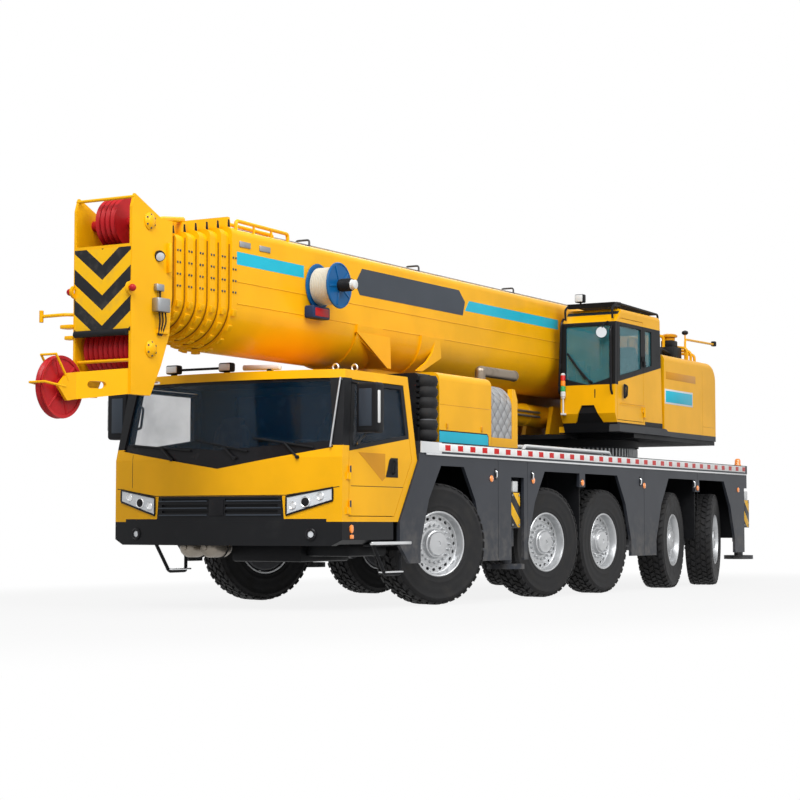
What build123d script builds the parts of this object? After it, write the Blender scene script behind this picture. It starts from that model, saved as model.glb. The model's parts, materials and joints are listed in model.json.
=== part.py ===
from build123d import *
import os
from itertools import accumulate
from math import sqrt

# Five-axle mobile crane in travel position. Millimetres; X forward, Y left, Z up, wheels standing on Z = 0.

# Driving dimensions: whole machine
MACHINE_HALF_WIDTH = 1500

# Driving dimensions: wheels and axles
FIRST_AXLE_X = 2330
AXLE_STEPS = (2660, 1680, 2350, 1660)
REST_STEER_DEG = (-21.8, -11.0, -3.4, 8.5, 14.0)
TYRE_RADIUS = 685
TYRE_WIDTH = 390
SHOULDER_DROP = 40
RIM_RADIUS = 330
RIM_WALL = 30
RIM_DISC = 25
DISC_OFFSET = 60
HUB_RADIUS = 130
HUB_REACH = 165
KINGPIN_Y = MACHINE_HALF_WIDTH - 460
WHEEL_OFFSET = 200
KINGPIN_RADIUS = 40
SPINDLE_RADIUS = 60
HUB_SLEEVE = 40
BOSS_RADIUS = 75
BOSS_HALF_HEIGHT = 110
KNUCKLE_ARM = 40
AXLE_TUBE_RADIUS = 95
DIFFERENTIAL_RADIUS = 175
STRUT_RADIUS = 62
STRUT_Y = 720

# Clearances
PIN_GAP = 0.1
SEAT_GAP = 0.3
PANEL_GAP = 8
BEAM_GAP = 6

# Driving dimensions: chassis
FRAME_HALF_WIDTH = 520
FRAME_LOW = 880
RAIL_WALL = 80
DECK_LOW = 1690
DECK_THICK = 130
DECK_HALF_WIDTH = MACHINE_HALF_WIDTH
DECK_FRONT_X = 3070
DECK_REAR_X = -7290
CHASSIS_REAR_X = -7510
SLEW_X = -3970
RACE_RADIUS = 950
RACE_HEIGHT = 180
TOW_LUG = 40
TOW_REACH = 90
TOW_PIN_RADIUS = 25
TOW_Z = 980
WEIGHT_SEAT_FRONT_X = -170
WEIGHT_SEAT_REAR_X = -1720
WEIGHT_SEAT_HALF_WIDTH = 700
WEIGHT_SEAT_HEIGHT = 40

# Driving dimensions: outriggers
BEAM_WIDTH = 260
BEAM_HEIGHT = 340
BEAM_LOW = 905
BEAM_WALL = 40
BEAM_OUTER_Y = MACHINE_HALF_WIDTH - 60
BEAM_INNER_Y = -1250
FRONT_BOX_X = 840
REAR_BOX_X = -7190
JACK_Y = BEAM_OUTER_Y - 115
JACK_TUBE_RADIUS = 95
JACK_ROD_RADIUS = 68
JACK_TOP = 1430
JACK_TUBE_LOW = 640
FLOAT_RADIUS = 225
FLOAT_LOW = 370
FLOAT_THICK = 60
END_PLATE = 18
END_PLATE_OVERLAP = 45

# Driving dimensions: side skirts
SKIRT_OUTER_Y = MACHINE_HALF_WIDTH - 10
SKIRT_THICK = 40
SKIRT_LOW = 480
ARCH_FOOT = 50
ARCH_TOP = 1560
ARCH_SHOULDER_Z = 1180
ARCH_CROWN = 270
FLAP_WIDTH = 170
FLAP_LOW = 1385

# Driving dimensions: driving cab
CAB_FLOOR_Z = 930
CAB_BELT_Z = 1600
CAB_ROOF_Z = 2520
CAB_NOSE_X = 4820
CAB_NOSE_BULGE = 150
CAB_BROW_X = 4700
CAB_BROW_BULGE = 200
CAB_REAR_X = 3110
CAB_REAR_FOOT = 420
CAB_REAR_LEAN = 90
CAB_HALF_WIDTH = MACHINE_HALF_WIDTH - 30
CAB_ROOF_HALF_WIDTH = CAB_HALF_WIDTH - 70
CAB_WALL = 60
GLASS_SINK = 18
GLASS_THICK = 8
SCREEN_TOP_Z = 2430
SCREEN_SIDE_Z = 1700
SCREEN_LOW_Z = 1490
SCREEN_TOP_Y = CAB_ROOF_HALF_WIDTH - 150
SCREEN_SIDE_Y = CAB_HALF_WIDTH - 110
REAR_WINDOW_HALF_WIDTH = 0.7 * SCREEN_TOP_Y
DOOR_PILLAR = 130
DOOR_BORDER = 115
DOOR_LOW = 985
DOOR_TOP = 2420
DOOR_WINDOW_LOW = 1720
DOOR_WINDOW_RISE = 150
DOOR_WINDOW_TOP = 2370
DOOR_WINDOW_BORDER = 75
HINGE_RADIUS = 15
HINGE_LENGTH = 70
HINGE_HEIGHTS = (1080, 1440)
BUMPER_LOW = 680
BUMPER_WALL = 90
BUMPER_REAR_X = 3630
LAMP_SINK = 26
LAMP_PROUD = 6
LAMP_INNER_Y = CAB_HALF_WIDTH - 620
LAMP_OUTER_Y = CAB_HALF_WIDTH - 100
LAMP_INNER_Z = (1000, 1190)
LAMP_OUTER_Z = (1150, 1280)
FOG_Y = CAB_HALF_WIDTH - 340
FOG_Z = 800
FOG_RADIUS = 48
GRILLE_BORDER = 25
GRILLE_TOP = 1200
GRILLE_SINK = 34
GRILLE_SLOT = 26
GRILLE_SLOT_DEPTH = 20
GRILLE_PITCH = 62
GRILLE_SLOTS = 3
BADGE_HALF_WIDTH = 105
BUMPER_CHAMFER = 120
MIRROR_SETBACK = 90
MIRROR_REACH = 270
MIRROR_DEPTH = 110
MIRROR_WIDTH = 240
MIRROR_ARM = 24
MIRROR_LOW = 1850
MIRROR_TOP = 2360

# Driving dimensions: seats and controls
SEAT_BASE_HEIGHT = 320
SEAT_CUSHION = 130
SEAT_DEPTH = 480
SEAT_BACK_HEIGHT = 670
SEAT_BACK_THICK = 110
SEAT_BACK_LEAN = 90
DRIVER_SEAT_X = CAB_REAR_X + 720
DRIVER_SEAT_Y = 700
DRIVER_SEAT_WIDTH = 500
OPERATOR_SEAT_WIDTH = 480
DASH_DEPTH = 340
DASH_LOW = 400
DASH_HEIGHT = 220
STEERING_SETBACK = 470
STEERING_HEIGHT = 700
STEERING_RADIUS = 210
STEERING_RIM = 18
STEERING_SLOPE = 0.6
COLUMN_RADIUS = 35

# Driving dimensions: engine hood
HOOD_FRONT_X = 2480
HOOD_REAR_X = 1200
HOOD_INNER_Y = 640
HOOD_OUTER_Y = MACHINE_HALF_WIDTH - 100
HOOD_TOP = 2630
HOOD_ROUND = 90
SILENCER_LENGTH = 640
SILENCER_TOP = 2590
STACK_LENGTH = 330
STACK_TOP = 2600
STACK_SLOT = 28
STACK_PITCH = 62
STACK_SLOTS = 9
EXHAUST_RADIUS = 65
EXHAUST_WALL = 8
EXHAUST_Z = 2770
EXHAUST_FRONT_X = 760
EXHAUST_REAR_X = -150
ENGINE_LENGTH = 1400
ENGINE_HALF_WIDTH = 400
ENGINE_HEIGHT = 640
ENGINE_FRONT_X = 2950
SUMP_FLOOR = 60

# Driving dimensions: turntable and operator's cab
RING_RADIUS = 1000
TURNTABLE_LOW = 2100
TURNTABLE_THICK = 60
TURNTABLE_FRONT_X = -2820
TURNTABLE_REAR_X = -6150
TURNTABLE_HALF_WIDTH = MACHINE_HALF_WIDTH - 100
SIDE_PLATE_THICK = 60
SIDE_PLATE_GAP = 20
PIVOT_X = -5670
PIVOT_Z = 3350
PIVOT_RADIUS = 70
PIVOT_EYE = 180
OPERATOR_INNER_Y = 610
OPERATOR_OUTER_Y = MACHINE_HALF_WIDTH - 80
OPERATOR_FLOOR_Z = 2250
OPERATOR_ROOF_Z = 3850
OPERATOR_BROW_Z = 3640
OPERATOR_TOE_Z = 2410
OPERATOR_ROOF_ROUND = 60
OPERATOR_FRONT_X = -2390
OPERATOR_REAR_X = -4050
OPERATOR_TOE = 90
OPERATOR_LEAN = 30
OPERATOR_BROW = 230
OPERATOR_WALL = 45
OPERATOR_DOOR_REAR_X = -3370
QUARTER_REAR_X = -3670
OPERATOR_DOOR_LOW = 2320
OPERATOR_DOOR_TOP = 3720
OPERATOR_SILL_Z = 2890
OPERATOR_SILL_RISE = 0.19
OPERATOR_SCREEN_DIP = 90
OPERATOR_HEAD_Z = 3610
OPERATOR_STEP_Z = (2300, 2520)
OPERATOR_STEP_HALF = (200, 95)
OPERATOR_STEP_DEPTH = 25
OPERATOR_POST = 75
OPERATOR_SEAT_X = OPERATOR_REAR_X + 620
TAIL_FRONT_X = -4130
TAIL_REAR_X = -6230
TAIL_TOP = 3340
TAIL_ROUND = 280
TAIL_EDGE = 90
RIGHT_HOUSE_TOP = 3300
RIGHT_HOUSE_FRONT_X = -3070
WINCH_X = -5550
WINCH_Z = 2560
WINCH_DRUM_RADIUS = 220
WINCH_FLANGE_RADIUS = 300
WINCH_HALF_LENGTH = 340
WINCH_FLANGE = 30

# Driving dimensions: boom
BOOM_HALF_WIDTH = 480
BOOM_CREASE_Z = 3190
BOOM_TOP = 3980
BOOM_ROUND = 80
BOOM_WALL = 14
BOOM_STEP = 31
BOOM_REAR_X = -5070
BOOM_FRONT_X = 5260
SECTION_REAR_X = -4570
SECTION_REVEAL = 150
COLLAR_LENGTH = 90
COLLAR_PROUD = 8
CROWN_HEIGHT = 115
CROWN_SET_IN = 70
SECTIONS = 7
FOOT_PLATE = 80
BRACKET_FRONT_X = 2780
BRACKET_REAR_X = 730
BRACKET_BAND = 560
BRACKET_PROUD = 25
EYE_X = 1580
EYE_Z = 2470
EYE_RADIUS = 130
EYE_PIN_RADIUS = 60
LUG_INNER_Y = 130
LUG_THICK = 60
REEL_X = 3600
REEL_Z = 3530
REEL_RADIUS = 250
REEL_DRUM_RADIUS = 160
REEL_FLANGE = 20
REEL_OUTER_Y = 770
REEL_HUB_RADIUS = 65
REEL_HUB_Y = 930
HEAD_REAR_X = 6110
HEAD_FRONT_X = 6760
HEAD_HALF_WIDTH = 360
HEAD_PLATE = 30
HEAD_TOP = 4125
HEAD_BACK_Z = 3930
HEAD_LOW = 2160
HEAD_CHIN_X = 6450
HEAD_CHIN_Z = 2780
GUARD_RADIUS = 16
LOWER_SHEAVE_X = 6450
LOWER_SHEAVE_Z = 2620
UPPER_SHEAVE_X = 6480
UPPER_SHEAVE_Z = 3880
SHEAVE_RADIUS = 250
SHEAVE_WIDTH = 52
SHEAVE_PITCH = 62
LOWER_SHEAVES = 9
UPPER_SHEAVES = 4
SHEAVE_PIN_RADIUS = 55
NOSE_X = 7385
NOSE_Z = 2200
NOSE_RADIUS = 300
NOSE_ARM = 30
NOSE_GAP = 40
NOSE_ARM_HEIGHT = 250
NOSE_SLOT_X = 7060
NOSE_SLOT_LENGTH = 110
NOSE_SLOT_RADIUS = 35
JIB_PIN_RADIUS = 30
JIB_EAR = 130

# Driving dimensions: lift cylinder
LIFT_X = -3120
LIFT_Z = 2420
BARREL_RADIUS = 150
ROD_RADIUS = 105
BARREL_END = 420
BASE_EYE_RADIUS = 140

DECK_TOP = DECK_LOW + DECK_THICK
DOOR_FRONT_X = CAB_NOSE_X - CAB_NOSE_BULGE - DOOR_PILLAR
BOX_HALF_WIDTH = JACK_Y - JACK_TUBE_RADIUS - BEAM_WALL
TURNTABLE_TOP = TURNTABLE_LOW + TURNTABLE_THICK
SIDE_PLATE_Y = BOOM_HALF_WIDTH + SIDE_PLATE_GAP
DOOR_WALL = (OPERATOR_OUTER_Y - 1.5 * OPERATOR_WALL, OPERATOR_OUTER_Y + OPERATOR_WALL)
AXLE_X = list(accumulate(AXLE_STEPS, lambda x, step: x - step, initial=FIRST_AXLE_X))
SIDES = {"left": 1, "right": -1}


def block(x, y, z):
    """Box between two X, two Y and two Z values."""
    middle = [(low + high) / 2 for low, high in (x, y, z)]
    return Pos(*middle) * Box(*[high - low for low, high in (x, y, z)])


def side_plate(points, y):
    """Plate with an outline in the X-Z plane, between two Y values."""
    outline = make_face(Polyline(*[(px, y[0], pz) for px, pz in points], close=True))
    return extrude(outline, amount=y[1] - y[0], dir=(0, 1, 0))


def front_plate(points, x):
    """Plate with an outline in the Y-Z plane, between two X values."""
    outline = make_face(Polyline(*[(x[0], py, pz) for py, pz in points], close=True))
    return extrude(outline, amount=x[1] - x[0], dir=(1, 0, 0))


def rod(start, end, radius):
    """Round bar between two points."""
    line = Vector(*end) - Vector(*start)
    bar = Cylinder(radius, line.length, align=(Align.CENTER, Align.CENTER, Align.MIN))
    return Plane(origin=start, z_dir=line) * bar


def across(x, z, radius, y):
    """Round bar along Y between two Y values."""
    return rod((x, y[0], z), (x, y[1], z), radius)


def turned(points):
    """Solid turned about the Y axis from (radius, y) points."""
    return revolve(make_face(Polyline(*points, close=True)), axis=Axis.Y)


def mirrored(shape):
    """The same shape on the other side of the machine."""
    return mirror(shape, about=Plane.XZ)


def both_sides(shape):
    """A shape and its mirror image, fused."""
    return shape + mirrored(shape)


def span(side, low, high):
    """Y range on one side of the machine, from an inner to an outer distance."""
    return (low, high) if side > 0 else (-high, -low)


# Wheels, knuckles and axles

def at_kingpin(shape, axle, side):
    """Moves a shape made about a left kingpin to its axle end, at the steered rest angle."""
    turn = REST_STEER_DEG[axle] + (0 if side > 0 else 180)
    return Pos(AXLE_X[axle], side * KINGPIN_Y, TYRE_RADIUS) * Rot(0, 0, turn) * shape


def tyre():
    """Tyre about the wheel's own axis, at the kingpin's offset."""
    half = TYRE_WIDTH / 2
    bead = half - RIM_WALL / 2
    side_radius = (TYRE_RADIUS + RIM_RADIUS) / 2
    shoulder = TYRE_RADIUS - SHOULDER_DROP
    right = [(RIM_RADIUS, bead), (side_radius, half), (shoulder, half - SHOULDER_DROP / 4)]
    tread = [(TYRE_RADIUS, half - SHOULDER_DROP)]
    upper = right + tread
    lower = [(radius, -y) for radius, y in reversed(upper)]
    return Pos(0, WHEEL_OFFSET, 0) * turned(upper + lower)


def rim():
    """Rim with its disc, hub cap and the blind bore that runs on the spindle."""
    edge = TYRE_WIDTH / 2 - RIM_WALL / 2
    outer = RIM_RADIUS - SEAT_GAP
    inner = RIM_RADIUS - RIM_WALL
    bore = SPINDLE_RADIUS + PIN_GAP
    disc_out = DISC_OFFSET + RIM_DISC
    blind = HUB_REACH - HUB_SLEEVE
    points = [(0, HUB_REACH), (HUB_RADIUS - RIM_DISC, HUB_REACH), (HUB_RADIUS, HUB_REACH - RIM_DISC),
              (HUB_RADIUS, disc_out), (inner, disc_out), (inner, edge), (outer, edge), (outer, -edge),
              (inner, -edge), (inner, DISC_OFFSET), (bore + HUB_SLEEVE, DISC_OFFSET),
              (bore + HUB_SLEEVE, -HUB_SLEEVE / 2), (bore, -HUB_SLEEVE / 2), (bore, blind), (0, blind)]
    return Pos(0, WHEEL_OFFSET, 0) * turned(points)


def knuckle():
    """Steering knuckle: kingpin, two arms, carrier plate and wheel spindle."""
    carrier = BOSS_RADIUS + KNUCKLE_ARM
    arm_low = BOSS_HALF_HEIGHT + SEAT_GAP
    arm_high = arm_low + KNUCKLE_ARM
    width = BOSS_RADIUS
    arm = block((-width, width), (-width, carrier), (arm_low, arm_high))
    body = rod((0, 0, -arm_high), (0, 0, arm_high), KINGPIN_RADIUS) + arm + mirror(arm, about=Plane.XY)
    body += block((-width, width), (carrier - KNUCKLE_ARM, carrier), (-arm_high, arm_high))
    tip = WHEEL_OFFSET + HUB_REACH - HUB_SLEEVE - SEAT_GAP
    return body + rod((0, carrier, 0), (0, tip, 0), SPINDLE_RADIUS)


def axle(x):
    """Driven axle with its kingpin bosses and the suspension struts up to the deck."""
    z = TYRE_RADIUS
    inner_end = KINGPIN_Y - BOSS_RADIUS / 2
    body = rod((x, -inner_end, z), (x, inner_end, z), AXLE_TUBE_RADIUS)
    body += rod((x, -DIFFERENTIAL_RADIUS, z), (x, DIFFERENTIAL_RADIUS, z), DIFFERENTIAL_RADIUS)
    for side in SIDES.values():
        y = side * KINGPIN_Y
        body += rod((x, y, z - BOSS_HALF_HEIGHT), (x, y, z + BOSS_HALF_HEIGHT), BOSS_RADIUS)
        body += rod((x, side * STRUT_Y, z), (x, side * STRUT_Y, DECK_LOW), STRUT_RADIUS)
        body -= rod((x, y, z - 2 * BOSS_HALF_HEIGHT), (x, y, z + 2 * BOSS_HALF_HEIGHT), KINGPIN_RADIUS + PIN_GAP)
    return body


# Outriggers

def beam_x(box_x, side):
    """Middle of a beam in its box: the left beam lies behind the right one."""
    return box_x - side * (BEAM_WIDTH + BEAM_WALL) / 2


def outrigger_box(box_x):
    """Cross box that holds the two beams of one end, before its channels are cut."""
    half = BEAM_WIDTH + 1.5 * BEAM_WALL
    return block((box_x - half, box_x + half), (-BOX_HALF_WIDTH, BOX_HALF_WIDTH),
                 (BEAM_LOW - BEAM_WALL, BEAM_LOW + BEAM_HEIGHT + BEAM_WALL))


def beam_channel(box_x, side):
    """Space that one beam slides in, open at its own side."""
    x = beam_x(box_x, side)
    half = BEAM_WIDTH / 2 + BEAM_GAP
    seat = SEAT_GAP
    return block((x - half, x + half), span(side, BEAM_INNER_Y - BEAM_WALL, BEAM_OUTER_Y + BEAM_WALL),
                 (BEAM_LOW - seat, BEAM_LOW + BEAM_HEIGHT + BEAM_GAP))


def outrigger_beam(box_x, side):
    """Sliding beam with the jack's outer tube and the end plate."""
    x = beam_x(box_x, side)
    half = BEAM_WIDTH / 2
    body = block((x - half, x + half), span(side, BEAM_INNER_Y, BEAM_OUTER_Y), (BEAM_LOW, BEAM_LOW + BEAM_HEIGHT))
    body += rod((x, side * JACK_Y, JACK_TUBE_LOW), (x, side * JACK_Y, JACK_TOP), JACK_TUBE_RADIUS)
    body += block((x - half, x + half), span(side, BEAM_OUTER_Y, BEAM_OUTER_Y + END_PLATE),
                  (BEAM_LOW - END_PLATE_OVERLAP, BEAM_LOW + BEAM_HEIGHT + END_PLATE_OVERLAP))
    bore_top = JACK_TOP - END_PLATE
    return body - rod((x, side * JACK_Y, 0), (x, side * JACK_Y, bore_top), JACK_ROD_RADIUS + SEAT_GAP)


def outrigger_jack(box_x, side):
    """Jack rod with its round float."""
    x = beam_x(box_x, side)
    y = side * JACK_Y
    top = JACK_TOP - END_PLATE - SEAT_GAP
    return rod((x, y, FLOAT_LOW), (x, y, top), JACK_ROD_RADIUS) + rod((x, y, FLOAT_LOW),
                                                                     (x, y, FLOAT_LOW + FLOAT_THICK), FLOAT_RADIUS)


# Chassis

def chassis_frame():
    """Main frame with deck, outrigger boxes, slewing race, cab carrier and tow jaw."""
    half = FRAME_HALF_WIDTH
    body = block((CHASSIS_REAR_X, DECK_FRONT_X), (-half, half), (FRAME_LOW, DECK_LOW))
    sump = half - RAIL_WALL
    body -= block((ENGINE_FRONT_X - ENGINE_LENGTH - BEAM_GAP, ENGINE_FRONT_X + BEAM_GAP), (-sump, sump),
                  (FRAME_LOW + SUMP_FLOOR, DECK_LOW))
    body += block((DECK_REAR_X, DECK_FRONT_X), (-DECK_HALF_WIDTH, DECK_HALF_WIDTH), (DECK_LOW, DECK_TOP))
    for box_x in (FRONT_BOX_X, REAR_BOX_X):
        body += outrigger_box(box_x)
        for side in SIDES.values():
            body -= beam_channel(box_x, side)
    body += rod((SLEW_X, 0, DECK_TOP), (SLEW_X, 0, DECK_TOP + RACE_HEIGHT), RACE_RADIUS)
    seat_half = WEIGHT_SEAT_HALF_WIDTH
    body += block((WEIGHT_SEAT_REAR_X, WEIGHT_SEAT_FRONT_X), (-seat_half, seat_half),
                  (DECK_TOP, DECK_TOP + WEIGHT_SEAT_HEIGHT))
    carrier = block((DECK_FRONT_X + SEAT_GAP, CAB_NOSE_X - 2 * CAB_NOSE_BULGE), (-half, half),
                    (CAB_FLOOR_Z - 2 * RAIL_WALL, CAB_FLOOR_Z))
    return Compound([*(body + tow_jaw()).solids(), carrier])


def tow_jaw():
    """Two lugs on the rear with one upright pin bore."""
    lugs = []
    for z in (TOW_Z, TOW_Z + 3 * TOW_LUG):
        lug = block((CHASSIS_REAR_X - TOW_REACH, CHASSIS_REAR_X), (-TOW_REACH, TOW_REACH), (z, z + TOW_LUG))
        lugs.append(lug)
    jaw = lugs[0] + lugs[1]
    x = CHASSIS_REAR_X - TOW_REACH / 2
    return jaw - rod((x, 0, TOW_Z - TOW_LUG), (x, 0, TOW_Z + 5 * TOW_LUG), TOW_PIN_RADIUS)


def arch(front, rear):
    """Opening around the tyres from the front axle to the rear axle of one arch."""
    foot = TYRE_RADIUS + ARCH_FOOT
    shoulder = sqrt(TYRE_RADIUS ** 2 - (ARCH_SHOULDER_Z - TYRE_RADIUS) ** 2) + 1.5 * ARCH_FOOT
    points = [(front + foot, 0), (front + foot, TYRE_RADIUS), (front + shoulder, ARCH_SHOULDER_Z),
              (front + ARCH_CROWN, ARCH_TOP), (rear - ARCH_CROWN, ARCH_TOP), (rear - shoulder, ARCH_SHOULDER_Z),
              (rear - foot, TYRE_RADIUS), (rear - foot, 0)]
    return side_plate(points, (0, 2 * SKIRT_OUTER_Y))


def side_skirt(side):
    """Skirt along one side, with its arches and the slots that the jacks leave through."""
    inner = SKIRT_OUTER_Y - SKIRT_THICK
    rear = DECK_REAR_X
    front_top = CAB_REAR_X - PANEL_GAP
    front_low = front_top + CAB_REAR_FOOT
    outline = [(front_top, DECK_LOW), (front_top, CAB_BELT_Z), (front_low, CAB_FLOOR_Z),
               (front_low, BUMPER_LOW), (front_low - CAB_REAR_FOOT / 2, SKIRT_LOW), (rear, SKIRT_LOW),
               (rear, DECK_LOW)]
    body = side_plate(outline, (inner, SKIRT_OUTER_Y))
    groups = ((0, 0), (1, 2), (3, 4))
    for first, last in groups:
        body -= arch(AXLE_X[first], AXLE_X[last])
    for first, last in groups[1:]:
        middle = (AXLE_X[first] + AXLE_X[last]) / 2
        half = FLAP_WIDTH / 2
        body += block((middle - half, middle + half), (inner, SKIRT_OUTER_Y), (FLAP_LOW, ARCH_TOP))
    slot = JACK_TUBE_RADIUS + BEAM_WALL
    for box_x in (FRONT_BOX_X, REAR_BOX_X):
        x = beam_x(box_x, side)
        half = max(slot, BEAM_WIDTH / 2 + BEAM_WALL)
        body -= block((x - half, x + half), (0, 2 * SKIRT_OUTER_Y), (0, JACK_TOP + BEAM_WALL))
    return body if side > 0 else mirrored(body)


def skirts():
    """The two side skirts."""
    return Compound([solid for side in SIDES.values() for solid in side_skirt(side).solids()])


# Driving cab

def cab_level(z):
    """Front middle, front corner, rear and half width of the cab at one height."""
    nose = (CAB_NOSE_X, CAB_NOSE_X - CAB_NOSE_BULGE)
    brow = (CAB_BROW_X, CAB_BROW_X - CAB_BROW_BULGE)
    floor = (*nose, CAB_REAR_X + CAB_REAR_FOOT, CAB_HALF_WIDTH)
    belt = (*nose, CAB_REAR_X, CAB_HALF_WIDTH)
    roof = (*brow, CAB_REAR_X + CAB_REAR_LEAN, CAB_ROOF_HALF_WIDTH)
    if z <= CAB_BELT_Z:
        low, high, share = floor, belt, (z - CAB_FLOOR_Z) / (CAB_BELT_Z - CAB_FLOOR_Z)
    else:
        low, high, share = belt, roof, (z - CAB_BELT_Z) / (CAB_ROOF_Z - CAB_BELT_Z)
    return [a + (b - a) * share for a, b in zip(low, high)]


def cab_section(z, inset):
    """Cab outline at one height, moved inwards by an inset."""
    middle, corner, rear, half = cab_level(z)
    middle, corner, rear, half = middle - inset, corner - inset, rear + inset, half - inset
    outline = Polyline((corner, half, z), (rear, half, z), (rear, -half, z), (corner, -half, z))
    nose = ThreePointArc((corner, -half, z), (middle, 0, z), (corner, half, z))
    return make_face(outline.edges() + nose.edges())


def cab_skin(inset):
    """Solid inside the cab's surface, moved inwards by an inset."""
    heights = (CAB_FLOOR_Z + inset, CAB_BELT_Z, CAB_ROOF_Z - inset)
    return loft([cab_section(z, inset) for z in heights], ruled=True)


def cab_shell():
    """Cab walls, floor and roof as one hollow shell."""
    return cab_skin(0) - cab_skin(CAB_WALL)


def screen_prism(shrink=0):
    """Windscreen opening, with its lower edge dipping to the middle."""
    top, side, low = SCREEN_TOP_Z - shrink, SCREEN_SIDE_Z + shrink, SCREEN_LOW_Z + shrink
    points = [(-SCREEN_TOP_Y + shrink, top), (SCREEN_TOP_Y - shrink, top), (SCREEN_SIDE_Y - shrink, side),
              (0, low), (-SCREEN_SIDE_Y + shrink, side)]
    middle = (CAB_REAR_X + CAB_NOSE_X) / 2
    return front_plate(points, (middle, CAB_NOSE_X + CAB_WALL))


def rear_window_prism(shrink=0):
    """Window in the cab's rear wall."""
    half = REAR_WINDOW_HALF_WIDTH - shrink
    return block((CAB_REAR_X - CAB_WALL, CAB_REAR_X + 2 * CAB_WALL + CAB_REAR_LEAN), (-half, half),
                 (DOOR_WINDOW_LOW + shrink, DOOR_WINDOW_TOP - shrink))


def door_prism(side, gap):
    """Door outline through one side wall, made smaller by a gap."""
    heights = (DOOR_LOW + gap, CAB_BELT_Z, DOOR_TOP - gap)
    front = [(cab_level(z)[1] - DOOR_PILLAR - gap, z) for z in heights]
    rear = [(cab_level(z)[2] + DOOR_BORDER + gap, z) for z in reversed(heights)]
    points = [*front, *rear]
    middle = CAB_HALF_WIDTH - 4 * CAB_WALL
    return side_plate(points, span(side, middle, CAB_HALF_WIDTH + CAB_WALL))


def door_window_prism(side, gap):
    """Window through one door."""
    border = DOOR_BORDER + DOOR_WINDOW_BORDER + gap
    pillar = DOOR_PILLAR + DOOR_WINDOW_BORDER + gap
    low, top = DOOR_WINDOW_LOW + gap, DOOR_WINDOW_TOP - gap
    rear_low = low + DOOR_WINDOW_RISE
    points = [(cab_level(low)[1] - pillar, low), (cab_level(top)[1] - pillar, top),
              (cab_level(top)[2] + border, top), (cab_level(rear_low)[2] + border, rear_low)]
    middle = CAB_HALF_WIDTH - 4 * CAB_WALL
    return side_plate(points, span(side, middle, CAB_HALF_WIDTH + CAB_WALL))


def hinge(x, y, low, side, leaf):
    """Half of a barrel hinge outside a side wall, with a leaf that reaches along X from its axis."""
    wall = y - side * (HINGE_RADIUS + SEAT_GAP)
    barrel = rod((x, y, low), (x, y, low + HINGE_LENGTH), HINGE_RADIUS)
    ends = sorted((x, x + leaf))
    sides = sorted((wall - side * HINGE_RADIUS, y))
    return barrel + block(ends, sides, (low, low + HINGE_LENGTH))


def door_hinges(x, wall_y, heights, side, leaf):
    """Hinge halves on the door and on the body, one above the other on the same axis."""
    y = wall_y + side * (HINGE_RADIUS + SEAT_GAP)
    on_door = [hinge(x, y, z, side, leaf) for z in heights]
    on_body = [hinge(x, y, z - HINGE_LENGTH - SEAT_GAP, side, -leaf) for z in heights]
    return on_door, on_body


def cab_door(side):
    """Driving cab door with its window cut, hinges and mirror."""
    body = (cab_shell() & door_prism(side, PANEL_GAP)) - door_window_prism(side, 0)
    for half in door_hinges(DOOR_FRONT_X, side * CAB_HALF_WIDTH, HINGE_HEIGHTS, side, -4 * HINGE_RADIUS)[0]:
        body += half
    return body + mirror_arm(side)


def mirror_arm(side):
    """Mirror head on two arms that stand out of the door above its belt."""
    x = DOOR_FRONT_X - MIRROR_SETBACK
    outer = CAB_HALF_WIDTH + MIRROR_REACH
    head = block((x - MIRROR_DEPTH, x), span(side, outer - MIRROR_WIDTH, outer), (MIRROR_LOW, MIRROR_TOP))
    head = fillet(head.edges().filter_by(Axis.Z), MIRROR_DEPTH / 4)
    middle = x - MIRROR_DEPTH / 2
    for z in (DOOR_WINDOW_LOW - MIRROR_ARM, DOOR_WINDOW_TOP + MIRROR_ARM):
        foot = cab_level(z)[3] - CAB_WALL / 2
        foot_x = min(middle, cab_level(z)[1] - DOOR_PILLAR - PANEL_GAP - MIRROR_ARM)
        inside = min(max(z, MIRROR_LOW + MIRROR_ARM), MIRROR_TOP - MIRROR_ARM)
        head += rod((foot_x, side * foot, z), (middle, side * (outer - MIRROR_WIDTH / 2), inside), MIRROR_ARM / 2)
    return head


def driving_cab():
    """Driving cab shell with the openings for glass, doors and lamps."""
    body = cab_shell() - screen_prism() - rear_window_prism()
    body -= grille_prism(0) & (cab_skin(-CAB_WALL) - cab_skin(GRILLE_SINK + SEAT_GAP))
    for side in SIDES.values():
        body -= door_prism(side, 0)
        body -= head_lamp_prism(side, PANEL_GAP / 4) & (cab_skin(-CAB_WALL) - cab_skin(LAMP_SINK + SEAT_GAP))
        for half in door_hinges(DOOR_FRONT_X, side * CAB_HALF_WIDTH, HINGE_HEIGHTS, side, -4 * HINGE_RADIUS)[1]:
            body += half
    return body


def cab_glass():
    """Windscreen and rear window."""
    pane = cab_skin(GLASS_SINK) - cab_skin(GLASS_SINK + GLASS_THICK)
    panes = (pane & screen_prism(SEAT_GAP)).solids() + (pane & rear_window_prism(SEAT_GAP)).solids()
    return Compound(panes)


def cab_door_glass(side):
    """Pane in one cab door."""
    pane = cab_skin(GLASS_SINK) - cab_skin(GLASS_SINK + GLASS_THICK)
    return pane & door_window_prism(side, SEAT_GAP)


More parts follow.
